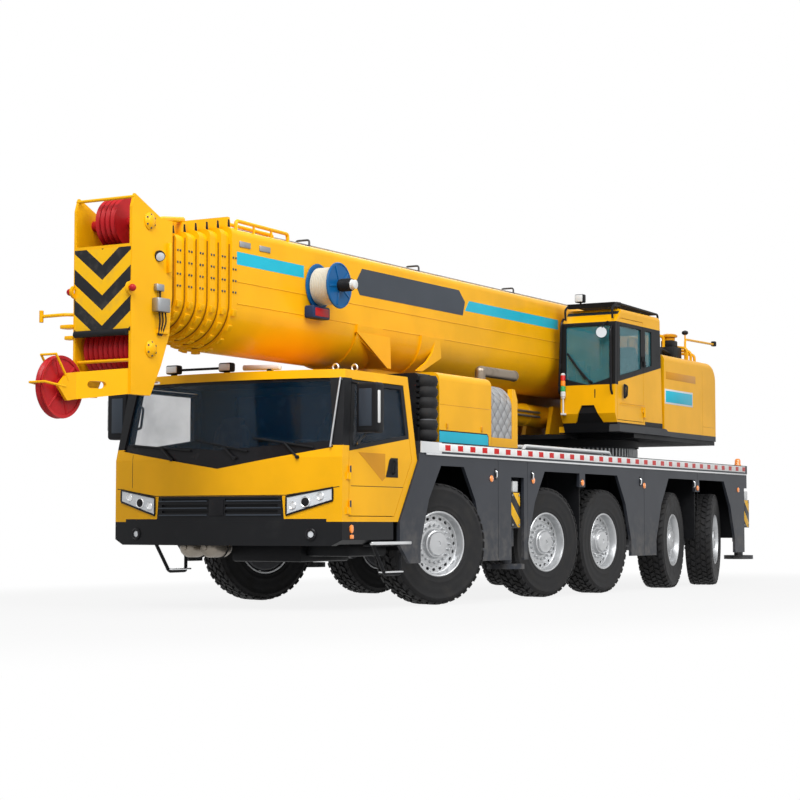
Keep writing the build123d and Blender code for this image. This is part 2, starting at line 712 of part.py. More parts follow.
def seat(x, y, floor, width):
    """Seat on a pedestal, facing forward."""
    half, deep = width / 2, SEAT_DEPTH / 2
    top = floor + SEAT_BASE_HEIGHT
    body = block((x - deep / 2, x + deep / 2), (y - half / 2, y + half / 2), (floor, top))
    body += block((x - deep, x + deep), (y - half, y + half), (top, top + SEAT_CUSHION))
    low, high = top + SEAT_CUSHION / 2, top + SEAT_CUSHION + SEAT_BACK_HEIGHT
    rear, front = x - deep, x - deep + SEAT_BACK_THICK
    back = [(rear, low), (front, low), (front - SEAT_BACK_LEAN, high), (rear - SEAT_BACK_LEAN, high)]
    return body + side_plate(back, (y - half, y + half))


def dashboard():
    """Dashboard shelf on two cheeks, with the steering column and wheel."""
    floor = CAB_FLOOR_Z + CAB_WALL
    front = CAB_NOSE_X - CAB_NOSE_BULGE - 2 * CAB_WALL
    rear = front - DASH_DEPTH
    half = CAB_HALF_WIDTH - 4 * CAB_WALL
    low, top = floor + DASH_LOW, floor + DASH_LOW + DASH_HEIGHT
    shelf = [(rear, low), (front, low), (front, top), (rear + DASH_DEPTH / 3, top), (rear, low + DASH_HEIGHT / 2)]
    body = side_plate(shelf, (-half, half))
    hub = (front - STEERING_SETBACK, DRIVER_SEAT_Y, floor + STEERING_HEIGHT)
    body += rod((front - DASH_DEPTH / 2, DRIVER_SEAT_Y, low + DASH_HEIGHT / 2), hub, COLUMN_RADIUS)
    wheel = Torus(STEERING_RADIUS, STEERING_RIM) + Cylinder(2 * COLUMN_RADIUS, 2 * STEERING_RIM)
    wheel += Box(2 * STEERING_RADIUS, 2 * STEERING_RIM, STEERING_RIM)
    body += Plane(origin=hub, z_dir=(-STEERING_SLOPE, 0, 1)) * wheel
    cheek = block((rear + DASH_DEPTH / 3, front), (half - CAB_WALL, half), (floor, low - SEAT_GAP))
    return Compound([*body.solids(), cheek, mirrored(cheek)])


def cab_interior():
    """Two seats and the dashboard."""
    floor = CAB_FLOOR_Z + CAB_WALL
    pieces = [dashboard()]
    for side in SIDES.values():
        pieces.append(seat(DRIVER_SEAT_X, side * DRIVER_SEAT_Y, floor, DRIVER_SEAT_WIDTH))
    return Compound([solid for piece in pieces for solid in piece.solids()])


def bumper_band(inset, low=BUMPER_LOW):
    """Solid under the cab's floor outline, moved inwards by an inset."""
    return extrude(cab_section(CAB_FLOOR_Z, inset), amount=low - CAB_FLOOR_Z, dir=(0, 0, 1))


def bumper():
    """Bumper band under the cab, chamfered at its lower corners, and the grille above it."""
    wide = 2 * CAB_HALF_WIDTH
    body = bumper_band(0) - bumper_band(BUMPER_WALL)
    body -= block((CAB_REAR_X, BUMPER_REAR_X), (-wide, wide), (0, CAB_BELT_Z))
    corner = CAB_HALF_WIDTH - BUMPER_CHAMFER
    chamfer = front_plate([(corner, BUMPER_LOW), (CAB_HALF_WIDTH, BUMPER_LOW),
                           (CAB_HALF_WIDTH, BUMPER_LOW + BUMPER_CHAMFER / 2)], (BUMPER_REAR_X, CAB_NOSE_X))
    body -= both_sides(chamfer)
    for side in SIDES.values():
        body -= fog_lamp(side, PANEL_GAP / 4)
    return Compound([*body.solids(), *grille().solids()])


def grille_prism(gap):
    """Outline of the grille between the headlamps, made smaller by a gap."""
    foot = LAMP_INNER_Y - GRILLE_BORDER - gap
    head = foot - GRILLE_BORDER
    low, top = CAB_FLOOR_Z + gap, GRILLE_TOP - gap
    points = [(-foot, low), (foot, low), (head, top), (-head, top)]
    return front_plate(points, (CAB_NOSE_X - 2 * CAB_NOSE_BULGE, CAB_NOSE_X + CAB_WALL))


def grille():
    """Slotted grille panel let into the cab's front, with a blank badge plate in its middle."""
    body = (cab_skin(0) - cab_skin(GRILLE_SINK)) & grille_prism(SEAT_GAP)
    groove = cab_skin(-GRILLE_SLOT_DEPTH) - cab_skin(GRILLE_SLOT_DEPTH)
    end = LAMP_INNER_Y - 4 * GRILLE_BORDER
    for index in range(GRILLE_SLOTS):
        low = GRILLE_TOP - GRILLE_BORDER - GRILLE_SLOT - index * GRILLE_PITCH
        slot = block((CAB_NOSE_X - 2 * CAB_NOSE_BULGE, CAB_NOSE_X + CAB_WALL), (BADGE_HALF_WIDTH, end),
                     (low, low + GRILLE_SLOT))
        body -= both_sides(slot) & groove
    return body


def head_lamp_prism(side, grow):
    """Swept outline of one headlamp."""
    points = [(LAMP_INNER_Y - grow, LAMP_INNER_Z[0] - grow), (LAMP_OUTER_Y + grow, LAMP_OUTER_Z[0] - grow),
              (LAMP_OUTER_Y + grow, LAMP_OUTER_Z[1] + grow), (LAMP_INNER_Y - grow, LAMP_INNER_Z[1] + grow)]
    prism = front_plate(points, (CAB_NOSE_X - 2 * CAB_NOSE_BULGE, CAB_NOSE_X + CAB_WALL))
    return prism if side > 0 else mirrored(prism)


def fog_lamp(side, grow):
    """Round fog lamp let into the bumper."""
    x = CAB_NOSE_X - CAB_NOSE_BULGE
    return rod((x - BUMPER_WALL / 3, side * FOG_Y, FOG_Z), (x + BUMPER_WALL, side * FOG_Y, FOG_Z), FOG_RADIUS + grow)


def lamps():
    """Headlamps, fog lamps and rear lamps."""
    skin = cab_skin(-LAMP_PROUD) - cab_skin(LAMP_SINK)
    pieces = []
    for side in SIDES.values():
        pieces += (skin & head_lamp_prism(side, 0)).solids()
        pieces += (fog_lamp(side, 0) & bumper_band(-LAMP_PROUD)).solids()
        rear = block((CHASSIS_REAR_X - LAMP_SINK, CHASSIS_REAR_X), span(side, LAMP_INNER_Y, LAMP_OUTER_Y),
                     (BEAM_LOW, BEAM_LOW + LAMP_INNER_Z[1] - LAMP_INNER_Z[0]))
        pieces += rear.solids()
    return Compound(pieces)


# Engine

def hood_box(x, top, outer, rounding):
    """Rounded housing on the left of the deck."""
    body = block(x, (HOOD_INNER_Y, outer), (DECK_TOP, top))
    edges = body.edges().filter_by(Axis.X).sort_by(Axis.Z)[-2:]
    return fillet(edges, rounding)


def intake_stack():
    """Intake stack with louvre slots along its outer and front faces."""
    front, outer = HOOD_FRONT_X + STACK_LENGTH, HOOD_OUTER_Y - HOOD_ROUND
    body = hood_box((HOOD_FRONT_X + PANEL_GAP, front), STACK_TOP, outer, HOOD_ROUND / 2)
    border = 2 * STACK_SLOT
    for index in range(STACK_SLOTS):
        low = STACK_TOP - 2 * border - index * STACK_PITCH
        body -= block((HOOD_FRONT_X + border, front), (outer - STACK_SLOT, outer), (low, low + STACK_SLOT))
    return body


def exhaust():
    """Tail pipe that rises from the silencer and runs rearward, open at its end."""
    y = (HOOD_INNER_Y + HOOD_OUTER_Y) / 2
    start, end = (EXHAUST_FRONT_X, y, EXHAUST_Z), (EXHAUST_REAR_X, y, EXHAUST_Z)
    body = rod(start, end, EXHAUST_RADIUS) + Pos(*start) * Sphere(EXHAUST_RADIUS)
    body += rod((EXHAUST_FRONT_X, y, DECK_TOP), start, EXHAUST_RADIUS)
    return body - rod(((EXHAUST_FRONT_X + EXHAUST_REAR_X) / 2, y, EXHAUST_Z), end, EXHAUST_RADIUS - EXHAUST_WALL)


def engine_hood():
    """Hood on each side of the deck, with the intake stack, silencer cover and exhaust on the left."""
    hood = hood_box((HOOD_REAR_X, HOOD_FRONT_X), HOOD_TOP, HOOD_OUTER_Y, HOOD_ROUND)
    silencer = hood_box((HOOD_REAR_X - SILENCER_LENGTH, HOOD_REAR_X - PANEL_GAP), SILENCER_TOP,
                        HOOD_OUTER_Y - HOOD_ROUND / 2, 3 * HOOD_ROUND)
    pieces = [hood, silencer + exhaust(), intake_stack(), mirrored(hood)]
    return Compound([solid for piece in pieces for solid in piece.solids()])


def engine_block():
    """Engine inside the frame, as one plain block."""
    low = FRAME_LOW + SUMP_FLOOR
    return block((ENGINE_FRONT_X - ENGINE_LENGTH, ENGINE_FRONT_X), (-ENGINE_HALF_WIDTH, ENGINE_HALF_WIDTH),
                 (low, low + ENGINE_HEIGHT))


# Turntable

def turntable_frame():
    """Turntable plate, two side plates, boom pin and the lift cylinder's base lugs."""
    narrow = SIDE_PLATE_Y + SIDE_PLATE_THICK
    z = (TURNTABLE_LOW, TURNTABLE_TOP)
    body = block((TURNTABLE_REAR_X, TURNTABLE_FRONT_X), (-narrow, narrow), z)
    body += block((TURNTABLE_REAR_X, RIGHT_HOUSE_FRONT_X), (-TURNTABLE_HALF_WIDTH, TURNTABLE_HALF_WIDTH), z)
    race_top = DECK_TOP + RACE_HEIGHT
    body += rod((SLEW_X, 0, race_top + SEAT_GAP), (SLEW_X, 0, TURNTABLE_LOW), RING_RADIUS)
    cheek = [(TURNTABLE_FRONT_X, TURNTABLE_TOP), (TURNTABLE_FRONT_X, TURNTABLE_TOP + 3 * PIVOT_EYE),
             (PIVOT_X + 2 * PIVOT_EYE, PIVOT_Z + PIVOT_EYE), (PIVOT_X - 2 * PIVOT_EYE, PIVOT_Z + PIVOT_EYE),
             (TURNTABLE_REAR_X, PIVOT_Z - PIVOT_EYE), (TURNTABLE_REAR_X, TURNTABLE_TOP)]
    body += both_sides(side_plate(cheek, (SIDE_PLATE_Y, narrow)))
    body += across(PIVOT_X, PIVOT_Z, PIVOT_RADIUS, (-narrow, narrow))
    body += block((OPERATOR_REAR_X + OPERATOR_WALL, OPERATOR_FRONT_X - 2 * OPERATOR_TOE),
                  (SIDE_PLATE_Y, OPERATOR_OUTER_Y - OPERATOR_WALL), (TURNTABLE_TOP, OPERATOR_FLOOR_Z))
    lug_y = BARREL_RADIUS + BEAM_GAP
    lug = side_plate([(LIFT_X - 2 * BASE_EYE_RADIUS, TURNTABLE_TOP), (LIFT_X + 2 * BASE_EYE_RADIUS, TURNTABLE_TOP),
                      (LIFT_X + BASE_EYE_RADIUS, LIFT_Z + BASE_EYE_RADIUS),
                      (LIFT_X - BASE_EYE_RADIUS, LIFT_Z + BASE_EYE_RADIUS)], (lug_y, lug_y + LUG_THICK))
    body += both_sides(lug)
    return body + across(LIFT_X, LIFT_Z, EYE_PIN_RADIUS, (-lug_y, lug_y))


def operator_front(z):
    """X of the operator's cab front at one height, leaning back from its toe to its brow."""
    share = (z - OPERATOR_TOE_Z) / (OPERATOR_BROW_Z - OPERATOR_TOE_Z)
    above = max(0, z - OPERATOR_BROW_Z) / (OPERATOR_ROOF_Z - OPERATOR_BROW_Z)
    return OPERATOR_FRONT_X - OPERATOR_LEAN * min(share, 1) - OPERATOR_BROW * above


def operator_sill(x):
    """Height of the side windows' lower edge, which rises to the rear."""
    return OPERATOR_SILL_Z + OPERATOR_SILL_RISE * (OPERATOR_FRONT_X - x)


def operator_skin(inset):
    """Solid inside the operator's cab surface, moved inwards by an inset."""
    y = OPERATOR_INNER_Y + inset
    front = [(operator_front(z), z) for z in (OPERATOR_TOE_Z, OPERATOR_BROW_Z, OPERATOR_ROOF_Z)]
    points = [(OPERATOR_FRONT_X - OPERATOR_TOE, OPERATOR_FLOOR_Z), *front,
              (OPERATOR_REAR_X + OPERATOR_POST, OPERATOR_ROOF_Z), (OPERATOR_REAR_X, OPERATOR_FLOOR_Z)]
    outline = make_face(Polyline(*[(px, y, pz) for px, pz in points], close=True))
    outline = offset(outline, amount=-inset, kind=Kind.INTERSECTION) if inset else outline
    return extrude(outline, amount=OPERATOR_OUTER_Y - OPERATOR_INNER_Y - 2 * inset, dir=(0, 1, 0))


def operator_shell():
    """Walls, floor and roof of the operator's cab, with the roof's long edges rounded."""
    outer = operator_skin(0)
    roof_edges = outer.edges().filter_by(Axis.X).group_by(Axis.Z)[-1]
    return fillet(roof_edges, OPERATOR_ROOF_ROUND) - operator_skin(OPERATOR_WALL)


def operator_windows(shrink=0):
    """Openings for the front, rear, boom-side and left quarter windows."""
    inner, outer = OPERATOR_INNER_Y + OPERATOR_POST + shrink, OPERATOR_OUTER_Y - OPERATOR_POST - shrink
    sill, head = OPERATOR_SILL_Z + shrink, OPERATOR_HEAD_Z - shrink
    screen = [(inner, sill), ((inner + outer) / 2, sill - OPERATOR_SCREEN_DIP), (outer, sill), (outer, head), (inner, head)]
    front = front_plate(screen, (OPERATOR_FRONT_X - OPERATOR_BROW, OPERATOR_FRONT_X + OPERATOR_POST))
    rear = block((OPERATOR_REAR_X - OPERATOR_POST, OPERATOR_REAR_X + 2 * OPERATOR_POST), (inner, outer),
                 (operator_sill(OPERATOR_REAR_X) + shrink, head))
    wall = (OPERATOR_INNER_Y - OPERATOR_WALL, OPERATOR_INNER_Y + 1.5 * OPERATOR_WALL)
    side = side_window(QUARTER_REAR_X + shrink, OPERATOR_FRONT_X - 2 * OPERATOR_POST - shrink, shrink, wall)
    quarter = side_window(QUARTER_REAR_X + shrink, OPERATOR_DOOR_REAR_X - OPERATOR_POST - shrink, shrink, DOOR_WALL)
    return [front, rear, side, quarter]


def side_window(rear, front, shrink, wall):
    """Opening through a side wall, with its rising sill, between two X values."""
    head = OPERATOR_HEAD_Z - shrink
    points = [(rear, operator_sill(rear) + shrink), (front, operator_sill(front) + shrink), (front, head), (rear, head)]
    return side_plate(points, wall)


def operator_door_prism(gap):
    """Door outline through the left wall of the operator's cab."""
    heights = (OPERATOR_DOOR_LOW + gap, OPERATOR_BROW_Z, OPERATOR_DOOR_TOP - gap)
    front = [(operator_front(max(z, OPERATOR_TOE_Z)) - OPERATOR_POST - gap, z) for z in heights]
    rear = [(OPERATOR_DOOR_REAR_X + gap, z) for z in (heights[-1], heights[0])]
    return side_plate([*front, *rear], DOOR_WALL)


def operator_door_window(gap):
    """Window through the operator's door."""
    rear = OPERATOR_DOOR_REAR_X + OPERATOR_POST + gap
    return side_window(rear, OPERATOR_FRONT_X - OPERATOR_LEAN - 2 * OPERATOR_POST - gap, gap, DOOR_WALL)


def operator_step():
    """Toe recess in the lower front of the operator's cab."""
    middle = (OPERATOR_INNER_Y + OPERATOR_OUTER_Y) / 2
    low, top = OPERATOR_STEP_Z
    wide, narrow = OPERATOR_STEP_HALF
    points = [(middle - wide, low), (middle + wide, low), (middle + narrow, top), (middle - narrow, top)]
    recess = front_plate(points, (OPERATOR_FRONT_X - OPERATOR_BROW, OPERATOR_FRONT_X + OPERATOR_POST))
    return recess & (operator_skin(0) - operator_skin(OPERATOR_STEP_DEPTH))


def operator_hinges():
    """Hinge halves of the operator's door, at its rear edge."""
    heights = (OPERATOR_DOOR_LOW + 2 * HINGE_LENGTH, OPERATOR_SILL_Z + 4 * HINGE_LENGTH)
    return door_hinges(OPERATOR_DOOR_REAR_X, OPERATOR_OUTER_Y, heights, 1, 4 * HINGE_RADIUS)


def operator_cab():
    """Operator's cab shell with its windows and door opening."""
    body = operator_shell() - operator_door_prism(0) - operator_step()
    for window in operator_windows():
        body -= window
    for half in operator_hinges()[1]:
        body += half
    return body


def operator_glass():
    """Front, rear, boom-side and quarter panes."""
    pane = operator_skin(GLASS_SINK) - operator_skin(GLASS_SINK + GLASS_THICK)
    return Compound([solid for window in operator_windows(SEAT_GAP) for solid in (pane & window).solids()])


def operator_door():
    """Operator's door with its window cut and hinges."""
    body = (operator_shell() & operator_door_prism(PANEL_GAP)) - operator_door_window(0)
    for half in operator_hinges()[0]:
        body += half
    return body


def operator_door_glass():
    """Pane in the operator's door."""
    pane = operator_skin(GLASS_SINK) - operator_skin(GLASS_SINK + GLASS_THICK)
    return pane & operator_door_window(SEAT_GAP)


def operator_seat():
    """Seat in the operator's cab."""
    middle = (OPERATOR_INNER_Y + OPERATOR_OUTER_Y) / 2
    return seat(OPERATOR_SEAT_X, middle, OPERATOR_FLOOR_Z + OPERATOR_WALL, OPERATOR_SEAT_WIDTH)


def house(front, top, side):
    """Housing beside the boom foot, rounded over its rear and along its outer edge."""
    inner = SIDE_PLATE_Y + SIDE_PLATE_THICK + PANEL_GAP
    rear, low = TAIL_REAR_X, TURNTABLE_TOP
    turn = TAIL_ROUND * (1 - sqrt(0.5))
    sides = Polyline((rear + TAIL_ROUND, inner, top), (front, inner, top), (front, inner, low), (rear, inner, low),
                     (rear, inner, top - TAIL_ROUND))
    crown = ThreePointArc((rear, inner, top - TAIL_ROUND), (rear + turn, inner, top - turn),
                          (rear + TAIL_ROUND, inner, top))
    body = extrude(make_face(sides.edges() + crown.edges()), amount=OPERATOR_OUTER_Y - inner, dir=(0, 1, 0))
    outer_edges = body.faces().sort_by(Axis.Y)[-1].edges()
    body = fillet(outer_edges.sort_by(Axis.Z)[1:].filter_by(lambda edge: edge.center().X < front - 1), TAIL_EDGE)
    return body if side > 0 else mirrored(body)


def tail_housing():
    """Machinery housings on both sides of the boom foot."""
    houses = house(TAIL_FRONT_X, TAIL_TOP, 1), house(RIGHT_HOUSE_FRONT_X, RIGHT_HOUSE_TOP, -1)
    return Compound([solid for one in houses for solid in one.solids()])


def winch():
    """Hoist drum with its flanges, held between the side plates."""
    half = WINCH_HALF_LENGTH
    body = across(WINCH_X, WINCH_Z, WINCH_DRUM_RADIUS, (-half, half))
    for y in (-half, half - WINCH_FLANGE):
        body += across(WINCH_X, WINCH_Z, WINCH_FLANGE_RADIUS, (y, y + WINCH_FLANGE))
    return body + across(WINCH_X, WINCH_Z, EYE_PIN_RADIUS, (-SIDE_PLATE_Y, SIDE_PLATE_Y))


# Boom

def boom_outline(x, inset):
    """Boom section across X: flat top with rounded corners, flat sides and a round belly."""
    half, top = BOOM_HALF_WIDTH - inset, BOOM_TOP - inset
    crease, flat = BOOM_CREASE_Z, BOOM_HALF_WIDTH - inset - BOOM_ROUND
    turn = BOOM_ROUND * (1 - sqrt(0.5))
    edges = []
    for side in SIDES.values():
        edges += Line((x, side * half, crease), (x, side * half, top - BOOM_ROUND)).edges()
        edges += ThreePointArc((x, side * half, top - BOOM_ROUND), (x, side * (half - turn), top - turn),
                               (x, side * flat, top)).edges()
    edges += Line((x, -flat, top), (x, flat, top)).edges()
    edges += ThreePointArc((x, -half, crease), (x, 0, crease - half), (x, half, crease)).edges()
    return make_face(edges)


def boom_bar(x, inset):
    """Solid boom section between two X values."""
    return extrude(boom_outline(x[0], inset), amount=x[1] - x[0], dir=(1, 0, 0))


def collar(front, inset):
    """Collar at the front of a section, with the raised crown on its top."""
    rear, top = front - COLLAR_LENGTH, BOOM_TOP - inset
    half = BOOM_HALF_WIDTH - inset - CROWN_SET_IN
    quarter = COLLAR_LENGTH / 4
    crown = [(rear, top), (rear + quarter, top + CROWN_HEIGHT), (front - quarter, top + CROWN_HEIGHT), (front, top)]
    return boom_bar((rear, front), inset - COLLAR_PROUD) + side_plate(crown, (-half, half))


def boom_tube(rear, front, inset):
    """Hollow boom section with the collar that carries the next section at its front."""
    body = boom_bar((rear, front), inset) + collar(front, inset)
    body -= boom_bar((rear, front - COLLAR_LENGTH), inset + BOOM_WALL)
    return body - boom_bar((front - 2 * COLLAR_LENGTH, front), inset + BOOM_STEP - SEAT_GAP)


def lift_bracket():
    """Two saddle bands under the boom and the lugs that hold the lift cylinder's eye."""
    body = Part()
    low_half = block((BRACKET_REAR_X, BRACKET_FRONT_X), (-2 * BOOM_HALF_WIDTH, 2 * BOOM_HALF_WIDTH),
                     (0, BOOM_CREASE_Z))
    for rear in (BRACKET_REAR_X, BRACKET_FRONT_X - BRACKET_BAND):
        body += boom_bar((rear, rear + BRACKET_BAND), -BRACKET_PROUD) & low_half
    top = BOOM_CREASE_Z - BOOM_HALF_WIDTH + 2 * EYE_RADIUS
    lug = side_plate([(BRACKET_REAR_X, top), (EYE_X - EYE_RADIUS, EYE_Z - EYE_RADIUS / 2),
                      (EYE_X + EYE_RADIUS, EYE_Z - EYE_RADIUS / 2), (BRACKET_FRONT_X, top)],
                     (LUG_INNER_Y, LUG_INNER_Y + LUG_THICK))
    lug += across(EYE_X, EYE_Z, EYE_RADIUS, (LUG_INNER_Y, LUG_INNER_Y + LUG_THICK))
    return body + both_sides(lug) + across(EYE_X, EYE_Z, EYE_PIN_RADIUS, (-LUG_INNER_Y, LUG_INNER_Y))


def boom_foot():
    """Two foot plates that carry the boom on its pivot pin."""
    outer = BOOM_HALF_WIDTH - BOOM_WALL
    plate = side_plate([(BOOM_REAR_X + COLLAR_LENGTH, BOOM_CREASE_Z), (PIVOT_X, PIVOT_Z - PIVOT_EYE),
                        (PIVOT_X, PIVOT_Z + PIVOT_EYE), (BOOM_REAR_X + COLLAR_LENGTH, BOOM_TOP - 2 * BOOM_ROUND)],
                       (outer - FOOT_PLATE, outer))
    plate += across(PIVOT_X, PIVOT_Z, PIVOT_EYE, (outer - FOOT_PLATE, outer))
    bore = across(PIVOT_X, PIVOT_Z, PIVOT_RADIUS + PIN_GAP, (-2 * outer, 2 * outer))
    return both_sides(plate) - bore


def cable_reel():
    """Cable spool on the left of the boom: two flanges, a drum and a hub that stands out."""
    wall, outer = BOOM_HALF_WIDTH + SEAT_GAP, REEL_OUTER_Y
    points = [(0, wall), (REEL_RADIUS, wall), (REEL_RADIUS, wall + REEL_FLANGE), (REEL_DRUM_RADIUS, wall + REEL_FLANGE),
              (REEL_DRUM_RADIUS, outer - REEL_FLANGE), (REEL_RADIUS, outer - REEL_FLANGE), (REEL_RADIUS, outer),
              (REEL_HUB_RADIUS, outer), (REEL_HUB_RADIUS, REEL_HUB_Y), (0, REEL_HUB_Y)]
    return Pos(REEL_X, 0, REEL_Z) * turned(points)


def boom_base():
    """Base section with its foot and lift bracket, and the cable reel beside it."""
    body = boom_bar((BOOM_REAR_X, BOOM_FRONT_X), 0)
    body += collar(BOOM_FRONT_X, 0)
    body += lift_bracket()
    body -= boom_bar((BOOM_REAR_X, BOOM_FRONT_X - COLLAR_LENGTH), BOOM_WALL)
    body -= boom_bar((BOOM_FRONT_X - 2 * COLLAR_LENGTH, BOOM_FRONT_X), BOOM_STEP - SEAT_GAP)
    body += boom_foot()
    return Compound([*body.solids(), *cable_reel().solids()])


def boom_section(number):
    """One telescoping section; the last one carries the head."""
    inset = (number - 1) * BOOM_STEP
    front = BOOM_FRONT_X + (number - 1) * SECTION_REVEAL
    if number < SECTIONS:
        return boom_tube(SECTION_REAR_X, front, inset)
    body = boom_bar((SECTION_REAR_X, HEAD_REAR_X + HEAD_PLATE), inset)
    body -= boom_bar((SECTION_REAR_X, HEAD_REAR_X), inset + BOOM_WALL)
    return body + boom_head()


def boom_head():
    """Head frame: back and front plates, two cheeks, rope guards and the nose arms."""
    inner, outer = HEAD_HALF_WIDTH - HEAD_PLATE, HEAD_HALF_WIDTH
    chin = (HEAD_REAR_X + HEAD_CHIN_X) / 2
    points = [(HEAD_REAR_X, HEAD_BACK_Z), (HEAD_REAR_X, BOOM_CREASE_Z), (chin - JIB_EAR, HEAD_CHIN_Z),
              (chin, (HEAD_CHIN_Z + HEAD_LOW) / 2), (HEAD_CHIN_X, HEAD_LOW), (HEAD_FRONT_X, HEAD_LOW),
              (HEAD_FRONT_X, HEAD_TOP - JIB_EAR), (HEAD_FRONT_X - JIB_EAR / 3, HEAD_TOP), (chin, HEAD_BACK_Z)]
    ear = across(HEAD_FRONT_X, BOOM_CREASE_Z, JIB_EAR / 2, (inner, outer))
    body = both_sides(side_plate(points, (inner, outer)) + ear)
    body += block((HEAD_REAR_X, HEAD_REAR_X + HEAD_PLATE), (-outer, outer), (BOOM_CREASE_Z, HEAD_BACK_Z))
    body += block((HEAD_FRONT_X - HEAD_PLATE, HEAD_FRONT_X), (-outer, outer),
                  (LOWER_SHEAVE_Z + SHEAVE_RADIUS / 2, UPPER_SHEAVE_Z - SHEAVE_RADIUS))
    for z in (HEAD_TOP - 2 * GUARD_RADIUS, LOWER_SHEAVE_Z - SHEAVE_RADIUS / 2):
        body += across(HEAD_FRONT_X - JIB_EAR / 3, z, GUARD_RADIUS, (-outer, outer))
    body -= across(HEAD_FRONT_X, BOOM_CREASE_Z, JIB_PIN_RADIUS, (-2 * outer, 2 * outer))
    return body + both_sides(nose_arm())


def nose_arm():
    """Left arm that runs forward from the cheek's foot and draws in to the nose sheave."""
    inner, cheek = SHEAVE_WIDTH / 2 + NOSE_GAP, HEAD_HALF_WIDTH - HEAD_PLATE
    end = NOSE_X + JIB_EAR
    plan = [(HEAD_CHIN_X, cheek), (HEAD_FRONT_X, cheek), (NOSE_X - JIB_EAR, inner + NOSE_ARM), (end, inner + NOSE_ARM),
            (end, inner), (NOSE_X - JIB_EAR - NOSE_ARM / 2, inner), (HEAD_FRONT_X - NOSE_ARM / 2, cheek - NOSE_ARM),
            (HEAD_CHIN_X, cheek - NOSE_ARM)]
    floor = NOSE_Z - JIB_EAR
    top = HEAD_LOW + NOSE_ARM_HEIGHT
    outline = make_face(Polyline(*[(px, py, floor) for px, py in plan], close=True))
    side = side_plate([(HEAD_CHIN_X, HEAD_LOW), (HEAD_CHIN_X, top), (HEAD_FRONT_X, top), (NOSE_X, NOSE_Z + JIB_EAR),
                       (end, NOSE_Z), (NOSE_X, floor), (HEAD_FRONT_X, HEAD_LOW)], (0, HEAD_HALF_WIDTH))
    arm = extrude(outline, amount=top - floor, dir=(0, 0, 1)) & side
    half = NOSE_SLOT_LENGTH / 2
    slot = block((NOSE_SLOT_X - half, NOSE_SLOT_X + half), (0, HEAD_HALF_WIDTH), (NOSE_Z, NOSE_Z + 2 * NOSE_SLOT_RADIUS))
    for x in (NOSE_SLOT_X - half, NOSE_SLOT_X + half):
        slot += across(x, NOSE_Z + NOSE_SLOT_RADIUS, NOSE_SLOT_RADIUS, (0, HEAD_HALF_WIDTH))
    return arm - slot


def sheave_stack(x, z, count, pin_y):
    """Row of grooved sheaves on one pin."""
    rim, root = SHEAVE_RADIUS, SHEAVE_RADIUS - SHEAVE_WIDTH / 2
    first = -(count - 1) / 2 * SHEAVE_PITCH
    points = [(0, first - SHEAVE_WIDTH / 2)]
    for index in range(count):
        y = first + index * SHEAVE_PITCH
        points += [(rim, y - SHEAVE_WIDTH / 2), (root, y), (rim, y + SHEAVE_WIDTH / 2)]
        if index < count - 1:
            points += [(2 * SHEAVE_PIN_RADIUS, y + SHEAVE_WIDTH / 2), (2 * SHEAVE_PIN_RADIUS, y + SHEAVE_PITCH
                                                                       - SHEAVE_WIDTH / 2)]
    points += [(0, -first + SHEAVE_WIDTH / 2)]
    return Pos(x, 0, z) * turned(points) + across(x, z, SHEAVE_PIN_RADIUS, (-pin_y, pin_y))


def boom_sheaves():
    """Sheaves of the boom head and its nose."""
    pin_y = HEAD_HALF_WIDTH - HEAD_PLATE
    lower = sheave_stack(LOWER_SHEAVE_X, LOWER_SHEAVE_Z, LOWER_SHEAVES, pin_y)
    upper = sheave_stack(UPPER_SHEAVE_X, UPPER_SHEAVE_Z, UPPER_SHEAVES, pin_y)
    half = SHEAVE_WIDTH / 2
    nose = Pos(NOSE_X, 0, NOSE_Z) * turned([(0, -half), (NOSE_RADIUS, -half), (NOSE_RADIUS - half, 0),
                                            (NOSE_RADIUS, half), (0, half)])
    nose += across(NOSE_X, NOSE_Z, SHEAVE_PIN_RADIUS, (-half - NOSE_GAP, half + NOSE_GAP))
    return Compound([solid for stack in (lower, upper, nose) for solid in stack.solids()])


# Lift cylinder

def lift_line(share):
    """Point on the line from the lift cylinder's base pin to its rod eye."""
    return (LIFT_X + (EYE_X - LIFT_X) * share, 0, LIFT_Z + (EYE_Z - LIFT_Z) * share)


def lift_share(length):
    """Share of the pin-to-pin line for a length measured from the base pin."""
    return length / sqrt((EYE_X - LIFT_X) ** 2 + (EYE_Z - LIFT_Z) ** 2)


def luff_barrel():
    """Cylinder barrel with its base eye."""
    end = 1 - lift_share(BARREL_END)
    body = rod(lift_line(lift_share(BASE_EYE_RADIUS / 2)), lift_line(end), BARREL_RADIUS)
    body += across(LIFT_X, LIFT_Z, BASE_EYE_RADIUS, (-BARREL_RADIUS, BARREL_RADIUS))
    body -= rod(lift_line(lift_share(2 * BASE_EYE_RADIUS)), lift_line(1), ROD_RADIUS + SEAT_GAP)
    return body - across(LIFT_X, LIFT_Z, EYE_PIN_RADIUS + PIN_GAP, (-2 * BARREL_RADIUS, 2 * BARREL_RADIUS))


def luff_rod():
    """Piston rod with its eye."""
    y = LUG_INNER_Y - BEAM_GAP
    body = rod(lift_line(lift_share(2 * BASE_EYE_RADIUS + BEAM_GAP)), lift_line(1), ROD_RADIUS)
    body += across(EYE_X, EYE_Z, EYE_RADIUS - BEAM_GAP, (-y, y))
    return body - across(EYE_X, EYE_Z, EYE_PIN_RADIUS + PIN_GAP, (-2 * y, 2 * y))


